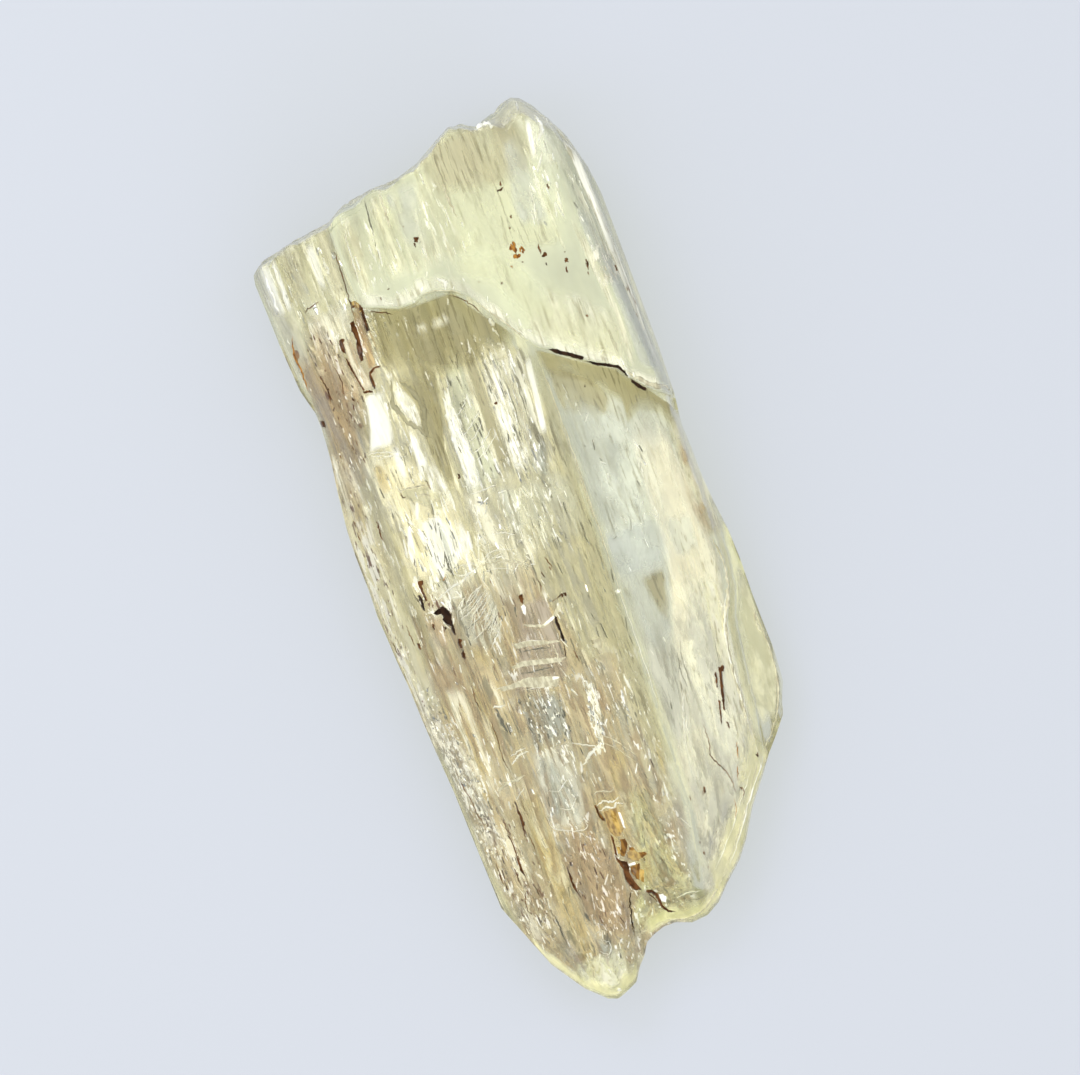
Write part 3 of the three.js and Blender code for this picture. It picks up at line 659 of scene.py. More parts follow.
# ---------------------------------------------------------------- paint on the surface

CREAM = (0.98, 0.975, 0.90)
# Tint of the front by zone: its colour, how much of it, and how softly it ends, in millimetres. The olive
# tints under the step (step_shade, dark_band, under_step) are painted shade.
TINTS = (
    ("body", (0.985, 0.975, 0.9), 1, 1.2),
    ("shoulder", (0.62, 0.46, 0.32), 0.6, 1),
    ("step_shade", (0.62, 0.58, 0.38), 0.75, 0.4),
    ("dark_band", (0.66, 0.62, 0.42), 0.6, 0.3),
    ("khaki_band", (0.72, 0.69, 0.48), 0.6, 0.4),
    ("khaki_broad", (0.8, 0.77, 0.56), 0.5, 0.8),
    ("under_step", (0.62, 0.58, 0.36), 0.7, 0.3),
    ("facet", (0.95, 0.98, 0.98), 0.8, 0.8),
    ("left_border", (0.74, 0.66, 0.48), 0.6, 0.8),
    ("left_smooth", (0.72, 0.68, 0.46), 0.6, 0.5),
    ("left_low", (0.82, 0.72, 0.52), 0.5, 1),
    ("smooth_strip", (0.78, 0.72, 0.42), 0.6, 0.4),
    ("rose_field", (0.76, 0.62, 0.52), 0.6, 0.8),
    ("right_lobe", (0.8, 0.86, 0.52), 0.6, 1),
    ("right_border", (0.8, 0.68, 0.45), 0.5, 0.3),
)
# Where the front is rough: how much, and how softly it ends.
FROSTS = (
    ("slab", 0.35, 0.8), ("shoulder", 0.3, 0.8), ("left_border", 0.5, 0.6), ("left_frost", 0.8, 0.5),
    ("cream_band", 0.35, 0.8), ("cream_low", 0.4, 0.8), ("left_low", 0.4, 0.6), ("under_step", 0.3, 0.3),
    ("step_shade", 0.25, 0.3),
)
BACK_FROST = 0.1
END_FROST_REACH = (0.3, 1.1)  # the upper end's frost dies out between these distances from it


def paint_surface(mesh, points):
    """Gives the crystal's points their tint and frost. The front's points come before the back's."""
    count = len(points) // 2
    x, y = points[:count, :2].T
    tint = np.tile(CREAM, (2 * count, 1))
    for zone, colour, amount, soft in TINTS:
        share = (amount * smooth(inside(zone, x, y), -soft / 2, soft / 2))[:, None]
        tint[:count] = tint[:count] * (1 - share) + np.array(colour) * share
    front = np.zeros(count)
    patchy = 0.6 + 0.4 * rough(x * 1.5, y * 0.6, 41)
    for zone, amount, soft in FROSTS:
        front = np.maximum(front, amount * patchy * smooth(inside(zone, x, y), -soft / 2, soft / 2))
    frost = np.concatenate([front, BACK_FROST * (1 + noise(x * 1.2, y * 0.2, 42))])
    x, y, z = points.T
    near_end = 1 - smooth(read_at(UPPER_END, across_at(x, y)) - y, *END_FROST_REACH)
    frost = np.maximum(frost, near_end * np.clip(0.45 + 0.3 * rough(x * 0.9, z * 0.7, 43), 0, 1))
    store(mesh, "tint", np.concatenate([tint, np.ones((2 * count, 1))], axis=1), "FLOAT_COLOR")
    store(mesh, "frost", frost)


# ---------------------------------------------------------------- materials


def add_node(tree, kind, inputs=None, **settings):
    """A new node. An input that is given another node's output is linked to it, and any other is set."""
    node = tree.nodes.new(kind)
    for setting, value in settings.items():
        setattr(node, setting, value)
    for socket, value in (inputs or {}).items():
        if isinstance(value, bpy.types.NodeSocket):
            tree.links.new(value, node.inputs[socket])
        else:
            node.inputs[socket].default_value = value
    return node


def new_material(name):
    """A material and its empty node tree."""
    material = bpy.data.materials.new(name)
    material.use_nodes = True
    material.node_tree.nodes.clear()
    return material, material.node_tree


def streak_group():
    """Fibres that run along c: a mask from 0 to 1, in Object coordinates."""
    found = bpy.data.node_groups.get("streaks")
    if found:
        return found
    group = bpy.data.node_groups.new("streaks", "ShaderNodeTree")
    for name, default in (("Across", 900), ("Along", 90), ("Low", 0.4), ("High", 0.65)):
        socket = group.interface.new_socket(name, in_out="INPUT", socket_type="NodeSocketFloat")
        socket.default_value = default
    group.interface.new_socket("Mask", in_out="OUTPUT", socket_type="NodeSocketFloat")
    given = add_node(group, "NodeGroupInput").outputs
    place = add_node(group, "ShaderNodeTexCoord")
    scales = add_node(group, "ShaderNodeCombineXYZ", {
        "X": given["Across"], "Y": given["Along"], "Z": given["Across"],
    })
    stretched = add_node(group, "ShaderNodeVectorMath", {
        0: place.outputs["Object"], 1: scales.outputs["Vector"],
    }, operation="MULTIPLY")
    fibres = add_node(group, "ShaderNodeTexNoise", {
        "Vector": stretched.outputs["Vector"],
        "Scale": 1, "Detail": 4, "Roughness": 0.6, "Distortion": 0.3,
    })
    mask = add_node(group, "ShaderNodeMapRange", {
        "Value": fibres.outputs["Fac"], "From Min": given["Low"], "From Max": given["High"],
    }, interpolation_type="SMOOTHSTEP")
    add_node(group, "NodeGroupOutput", {"Mask": mask.outputs["Result"]})
    return group


# The fibres of the fine grooves, of the fillings' grains and of the fine lines that shade most films: their
# scales across and along c, and the noise levels where one begins and is full.
GROOVES = (3500, 130, 0.3, 0.7)
GRAINS = (4000, 1500, 0.4, 0.6)
FINE_LINES = (5200, 380, 0.54, 0.61)
FINE_SHADE = (0.56, 0.53, 0.43)
GROOVE_STRENGTH, GROOVE_DEPTH = 0.25, 0.00004  # the depth is in metres
POLISHED, FROSTED = 0.03, 0.45  # roughness where the frost is 0 and where it is 1
SHADOW_TINT = (0.97, 0.97, 0.92, 1)
FLOOR_COLOUR, FLOOR_ROUGHNESS = (0.53, 0.55, 0.59, 1), 0.9


def streaks(tree, across, along, low, high):
    """The mask of fibres with these scales across and along c, between these noise levels."""
    values = {"Across": across, "Along": along, "Low": low, "High": high}
    return add_node(tree, "ShaderNodeGroup", values, node_tree=streak_group()).outputs["Mask"]


def attribute(tree, name):
    """The output of an attribute node, as a colour for a tint and as a number for any other."""
    node = add_node(tree, "ShaderNodeAttribute", attribute_name=name)
    return node.outputs["Color" if name == "tint" else "Fac"]


def spread(tree, share, low, high):
    """A share from 0 to 1, mapped to the range from low to high."""
    inputs = {"Value": share, "To Min": low, "To Max": high}
    return add_node(tree, "ShaderNodeMapRange", inputs).outputs["Result"]


def mixed(tree, mask, first, second, blend_type="MIX"):
    """Two colours mixed by a mask."""
    inputs = {0: mask, 6: first, 7: second}
    return add_node(tree, "ShaderNodeMix", inputs, data_type="RGBA", blend_type=blend_type).outputs[2]


def surfaced(tree, shader, **others):
    """Puts a shader out as the surface of a material."""
    add_node(tree, "ShaderNodeOutputMaterial", {"Surface": shader.outputs[0], **others})


def crystal_material():
    """Glass to the eye, and tinted air to shadow rays, so that light reaches what is sealed in it."""
    look = bpy.context.scene.spodumene_look
    material, tree = new_material("spodumene")
    relief = add_node(tree, "ShaderNodeBump", {
        "Height": streaks(tree, *GROOVES), "Strength": GROOVE_STRENGTH, "Distance": GROOVE_DEPTH,
    })
    glass = add_node(tree, "ShaderNodeBsdfPrincipled", {
        "Base Color": attribute(tree, "tint"),
        "Roughness": spread(tree, attribute(tree, "frost"), POLISHED, FROSTED),
        "Normal": relief.outputs["Normal"],
        "IOR": look.ior,
        "Transmission Weight": look.clearness,
    })
    clear = add_node(tree, "ShaderNodeBsdfTransparent", {"Color": SHADOW_TINT})
    light_path = add_node(tree, "ShaderNodeLightPath")
    mix = add_node(tree, "ShaderNodeMixShader", {
        "Fac": light_path.outputs["Is Shadow Ray"], 1: glass.outputs["BSDF"], 2: clear.outputs["BSDF"],
    })
    absorption = add_node(tree, "ShaderNodeVolumeAbsorption", {
        "Color": (*look.body_colour, 1), "Density": look.density,
    })
    surfaced(tree, mix, Volume=absorption.outputs["Volume"])
    return material


# A film's finish: its two colours, its alpha between the streaks and on them, its roughness, the streaks'
# scale across and along c, and the noise levels where a streak begins and is full.
FILMS = {
    "milk": ((0.57, 0.59, 0.46), (0.7, 0.72, 0.56), 0.5, 0.74, 0.6, 150, 60, 0.35, 0.65),
    "warm": ((0.45, 0.42, 0.27), (0.65, 0.62, 0.44), 0.42, 0.72, 0.6, 900, 60, 0.38, 0.62),
    "chalk": ((0.68, 0.67, 0.57), (0.87, 0.86, 0.76), 0.35, 0.86, 0.6, 900, 60, 0.38, 0.62),
    "cream": ((0.74, 0.7, 0.52), (0.92, 0.9, 0.76), 0.05, 0.75, 0.5, 1300, 100, 0.44, 0.62),
    "wisp": ((0.7, 0.69, 0.54), (0.92, 0.9, 0.74), 0.02, 0.55, 0.5, 1700, 120, 0.46, 0.62),
    # painted highlights of glinting facets and fractures
    "bright": ((0.93, 0.92, 0.82), (1, 1, 0.96), 0.75, 1, 0.4, 1500, 200, 0.35, 0.55),
    # white veils, and on the white band a painted highlight
    "white": ((0.86, 0.85, 0.72), (1, 1, 0.95), 0.05, 1, 0.4, 1500, 420, 0.47, 0.55),
    # painted shade: the dark under the step and on steep faces, as an olive film
    "olive": ((0.39, 0.355, 0.2), (0.5, 0.465, 0.28), 0.72, 0.92, 0.5, 500, 70, 0.35, 0.65),
    "khaki": ((0.45, 0.42, 0.27), (0.6, 0.57, 0.4), 0.32, 0.62, 0.5, 700, 60, 0.35, 0.65),
    "honey": ((0.36, 0.215, 0.06), (0.72, 0.56, 0.28), 0.45, 0.9, 0.5, 1500, 180, 0.4, 0.6),
    "stain": ((0.25, 0.16, 0.075), (0.6, 0.48, 0.295), 0.2, 0.75, 0.5, 1300, 330, 0.38, 0.62),
    "rose": ((0.3, 0.24, 0.175), (0.5, 0.43, 0.34), 0.4, 0.8, 0.5, 1600, 200, 0.4, 0.62),
    "gold": ((0.44, 0.33, 0.1), (0.64, 0.53, 0.24), 0.22, 0.62, 0.4, 900, 110, 0.35, 0.62),
    "haze": ((0.5, 0.5, 0.34), (0.67, 0.67, 0.48), 0.15, 0.5, 0.6, 300, 110, 0.38, 0.62),
    "tan": ((0.34, 0.265, 0.135), (0.6, 0.5, 0.3), 0.3, 0.66, 0.5, 1500, 190, 0.36, 0.64),
    "bark": ((0.2, 0.135, 0.06), (0.36, 0.265, 0.14), 0, 0.55, 0.5, 2200, 160, 0.52, 0.59),
    "ash": ((0.33, 0.32, 0.25), (0.42, 0.41, 0.33), 0, 0.42, 0.5, 2200, 170, 0.5, 0.58),
    "straw": ((0.62, 0.6, 0.4), (0.82, 0.8, 0.6), 0.7, 0.95, 0.6, 900, 330, 0.4, 0.6),
    "lime": ((0.8, 0.78, 0.45), (0.98, 0.95, 0.66), 0.7, 0.96, 0.4, 700, 320, 0.35, 0.65),
    "slate": ((0.2, 0.21, 0.18), (0.42, 0.44, 0.39), 0.15, 0.62, 0.4, 1800, 320, 0.42, 0.58),
    "butter": ((0.7, 0.645, 0.43), (0.9, 0.86, 0.66), 0.55, 0.86, 0.5, 700, 220, 0.35, 0.65),
    "pearl": ((0.61, 0.575, 0.45), (0.78, 0.745, 0.6), 0.4, 0.78, 0.5, 600, 150, 0.35, 0.65),
    "opal": ((0.58, 0.575, 0.5), (0.74, 0.735, 0.64), 0.6, 0.9, 0.5, 500, 150, 0.35, 0.65),
    "mist": ((0.5, 0.52, 0.47), (0.63, 0.65, 0.6), 0.35, 0.7, 0.5, 500, 230, 0.35, 0.65),
    "pale": ((0.55, 0.565, 0.49), (0.74, 0.755, 0.665), 0.18, 0.6, 0.4, 420, 170, 0.35, 0.65),
    "green": ((0.58, 0.59, 0.33), (0.8, 0.81, 0.53), 0.35, 0.7, 0.4, 500, 200, 0.35, 0.65),
    "grain": ((0.3, 0.28, 0.2), (1, 0.98, 0.88), 0.1, 0.95, 0.4, 3200, 1300, 0.46, 0.56),
    # painted glints, scattered in patches
    "sparks": ((0.95, 0.94, 0.84), (1, 1, 0.97), 0, 1, 0.3, 3600, 650, 0.6, 0.635),
    "specks": ((0.05, 0.02, 0.008), (0.16, 0.075, 0.03), 0, 0.9, 0.6, 3200, 900, 0.6, 0.635),
    "dashes": ((0.15, 0.14, 0.08), (0.22, 0.2, 0.12), 0, 0.6, 0.5, 3000, 330, 0.585, 0.63),
}
PATCHY = ("sparks", "specks", "dashes")  # these have bare places
# Neither the patchy films nor these show fine lines.
SMOOTH = ("milk", "bright", "lime", "straw", "butter", "pearl", "opal", "mist")


def film_material(kind):
    """A thin film in a crack; some kinds are painted highlight and some painted shade. Its edge attribute
    fades it out and streaks thin it.
    """
    found = bpy.data.materials.get(kind)
    if found:
        return found
    dark, light, thin, thick, roughness, *streak = FILMS[kind]
    material, tree = new_material(kind)
    mask = streaks(tree, *streak)
    colour = mixed(tree, mask, (*dark, 1), (*light, 1))
    if kind not in PATCHY + SMOOTH:
        colour = mixed(tree, streaks(tree, *FINE_LINES), colour, (*FINE_SHADE, 1), "MULTIPLY")
    fade = add_node(tree, "ShaderNodeMath", {
        0: attribute(tree, "edge"), 1: spread(tree, mask, thin, thick),
    }, operation="MULTIPLY")
    film = add_node(tree, "ShaderNodeBsdfPrincipled", {
        "Base Color": colour, "Roughness": roughness, "Alpha": fade.outputs["Value"],
    })
    surfaced(tree, film)
    return material


# Fillings of cracks and shards, as two colours, roughness and metal.
SOLIDS = {
    "soil": ((0.01, 0.004, 0.002), (0.035, 0.016, 0.007), 0.9, 0),
    "umber": ((0.045, 0.016, 0.004), (0.15, 0.06, 0.018), 0.9, 0),
    "resin": ((0.11, 0.045, 0.008), (0.3, 0.15, 0.03), 0.3, 0),
    "amber": ((0.3, 0.165, 0.03), (0.66, 0.45, 0.13), 0.2, 0),
    "ochre": ((0.15, 0.048, 0.008), (0.44, 0.2, 0.035), 0.8, 0),
    "shade": ((0.1, 0.095, 0.06), (0.2, 0.19, 0.13), 0.6, 0),
    "moss": ((0.38, 0.35, 0.21), (0.46, 0.43, 0.27), 0.6, 0),
    # painted glints: the white of facets and fractures that catch the light, as a plain white filling
    "glow": ((0.93, 0.91, 0.76), (1, 1, 0.93), 0.4, 0),
    # ivory: the cream bands of the ladder's rungs, and painted highlights along the rims and the slab's
    # edge
    "ivory": ((0.56, 0.51, 0.35), (0.88, 0.84, 0.64), 0.4, 0),
    "mirror": ((0.95, 0.96, 0.92), (1, 1, 0.97), 0.1, 1),
}


def solid_material(kind):
    """An opaque filling whose colour varies in grains."""
    found = bpy.data.materials.get(kind)
    if found:
        return found
    dark, light, roughness, metal = SOLIDS[kind]
    material, tree = new_material(kind)
    colour = mixed(tree, streaks(tree, *GRAINS), (*dark, 1), (*light, 1))
    surfaced(tree, add_node(tree, "ShaderNodeBsdfPrincipled", {
        "Base Color": colour, "Roughness": roughness, "Metallic": metal,
    }))
    return material


def floor_material():
    """Pale matt paper."""
    material, tree = new_material("pale_paper")
    surfaced(tree, add_node(tree, "ShaderNodeBsdfPrincipled", {
        "Base Color": FLOOR_COLOUR, "Roughness": FLOOR_ROUGHNESS,
    }))
    return material


# ---------------------------------------------------------------- films that fill a zone


def zone_top(zone, x, y):
    """Height of the front over a zone. A zone of the slab reads the slab, and any other the lower face."""
    return front_height(across_at(x, y), x, y, np.full(np.shape(x), zone.startswith("slab")))


def crosses_step(x, y):
    """Whether a line or an outline lies on both sides of the slab's broken edge."""
    across = across_at(x, y)
    on_slab = (y > read_at(SLAB_EDGE, across)) & (across > SHOULDER)
    return bool(on_slab.any() and not on_slab.all() and across.min() > SHOULDER)


WIDTH_STATIONS = 9  # places along a zone where its width is measured
SHEET_ROW, SHEET_COLUMN = 0.22, 0.2  # cells of a sheet along and across its zone
SHEET_ROWS, SHEET_COLUMNS = (8, 70), (6, 60)  # the fewest and the most of them
SHEET_MARGIN = 0.15  # how far a sheet keeps from the crystal's outline
SHEET_THICKNESS = 0.02
END_SHEET_GRID = (110, 44)  # columns and rows of the sheet under the upper end
END_SHEET_REACH = 2.0  # how far from the upper end its thickness is taken
FRONT_COVER, BACK_COVER, FAR_COVER = 0.03, 0.06, 0.3  # the least that lies over a sheet, and past it
# The sheet under the upper end is smaller than its face, by these to each side, at the top and in height.
END_SHEET_SIDE, END_SHEET_TOP, END_SHEET_LOSS = 0.3, 0.35, 0.8
FIRST_SHEET_SEED = 60


def film_sheet(zone, depth, fade, patchy, seed):
    """Points, faces and edge fade of a thin closed sheet under a zone. A patchy one has bare places.

    fade holds how far the sheet takes to fade in from its ends, from its first line and from its second.
    """
    shares = np.linspace(0, 1, WIDTH_STATIONS)
    line, other = (np.stack(lofted(zone, shares, np.full_like(shares, side)), axis=-1) for side in (0, 1))
    length = np.hypot(*np.diff(line, axis=0).T).sum()
    width = np.hypot(*(other - line).T)
    rows = int(np.clip(length / SHEET_ROW, *SHEET_ROWS))
    columns = int(np.clip(width.max() / SHEET_COLUMN, *SHEET_COLUMNS))
    t, s = np.meshgrid(np.linspace(0, 1, columns), np.linspace(0, 1, rows), indexing="ij")
    x, y = kept_inside(*lofted(zone, s, t), SHEET_MARGIN)
    top, bottom = zone_top(zone, x, y), bottom_at(x, y)
    under = depth * (1 + 0.3 * noise(x * 0.7, y * 0.25, seed))
    if depth > 0:
        z = np.minimum(np.maximum(top - under, bottom + FAR_COVER), top - FRONT_COVER)
    else:
        z = np.minimum(np.maximum(bottom - under, bottom + BACK_COVER), top - FAR_COVER)
    wide = np.interp(s, shares, width)
    ragged = 1 + 0.55 * rough(x * 1.6, y * 0.5, seed + 5)
    edge = smooth(np.minimum(s, 1 - s) * length, 0, fade[0] * ragged)
    edge = edge * smooth(t * wide, 0, fade[1] * ragged) * smooth((1 - t) * wide, 0, fade[2] * ragged)
    patches = rough(x * 0.6, y * 0.18, seed + 9)
    edge = edge * (smooth(patches, -0.35, 0.5) if patchy else 0.85 + 0.15 * patches)
    return doubled(x, y, z, edge, (0, 0, SHEET_THICKNESS))


def doubled(x, y, z, edge, thickness):
    """Points, faces and edge fade of a closed sheet, from a grid of its outer points."""
    outer = np.stack([x, y, z], axis=-1).reshape(-1, 3)
    return np.concatenate([outer, outer - thickness]), closed_grid(*x.shape), np.tile(edge.ravel(), 2)


def end_sheet(depth, fade, seed):
    """As film_sheet, for a sheet just behind the steep face of the broken upper end."""
    t, s = np.meshgrid(*(np.linspace(0, 1, count) for count in END_SHEET_GRID), indexing="ij")
    across = (2 * t - 1) * (HALF_WIDTH - END_SHEET_SIDE)
    end = read_at(UPPER_END, across)
    x = place_x(across, end)
    top = front_height(across, x, end - END_SHEET_REACH, np.ones_like(x, bool))
    back = back_height(across, x, end - END_SHEET_REACH)
    z = top - END_SHEET_TOP - (top - back - END_SHEET_LOSS) * s
    rim, foot = rim_at(across, end, 2), rim_at(across, end, 1)
    share = np.clip(np.maximum((z - rim) / (top - rim), (foot - z) / (foot - back)), 0, 1)
    y = end - upper_bevel(across, end) * share ** (1 / BEVEL_POWER)
    y = chipped(across, x, y, z) - depth
    ragged = 1 + 0.5 * rough(x * 1.2, z * 1.2, seed + 5)
    edge = smooth((1 - s) * top, 0, fade[0] * ragged) * smooth(s * top, 0, fade[1] * ragged)
    edge = edge * smooth(np.minimum(t, 1 - t) * 2 * HALF_WIDTH, 0, fade[2] * ragged)
    edge = edge * smooth(rough(x * 0.45, z * 0.35, seed + 9), -0.5, 0.6)
    return doubled(x, y, z, edge, (0, SHEET_THICKNESS, 0))


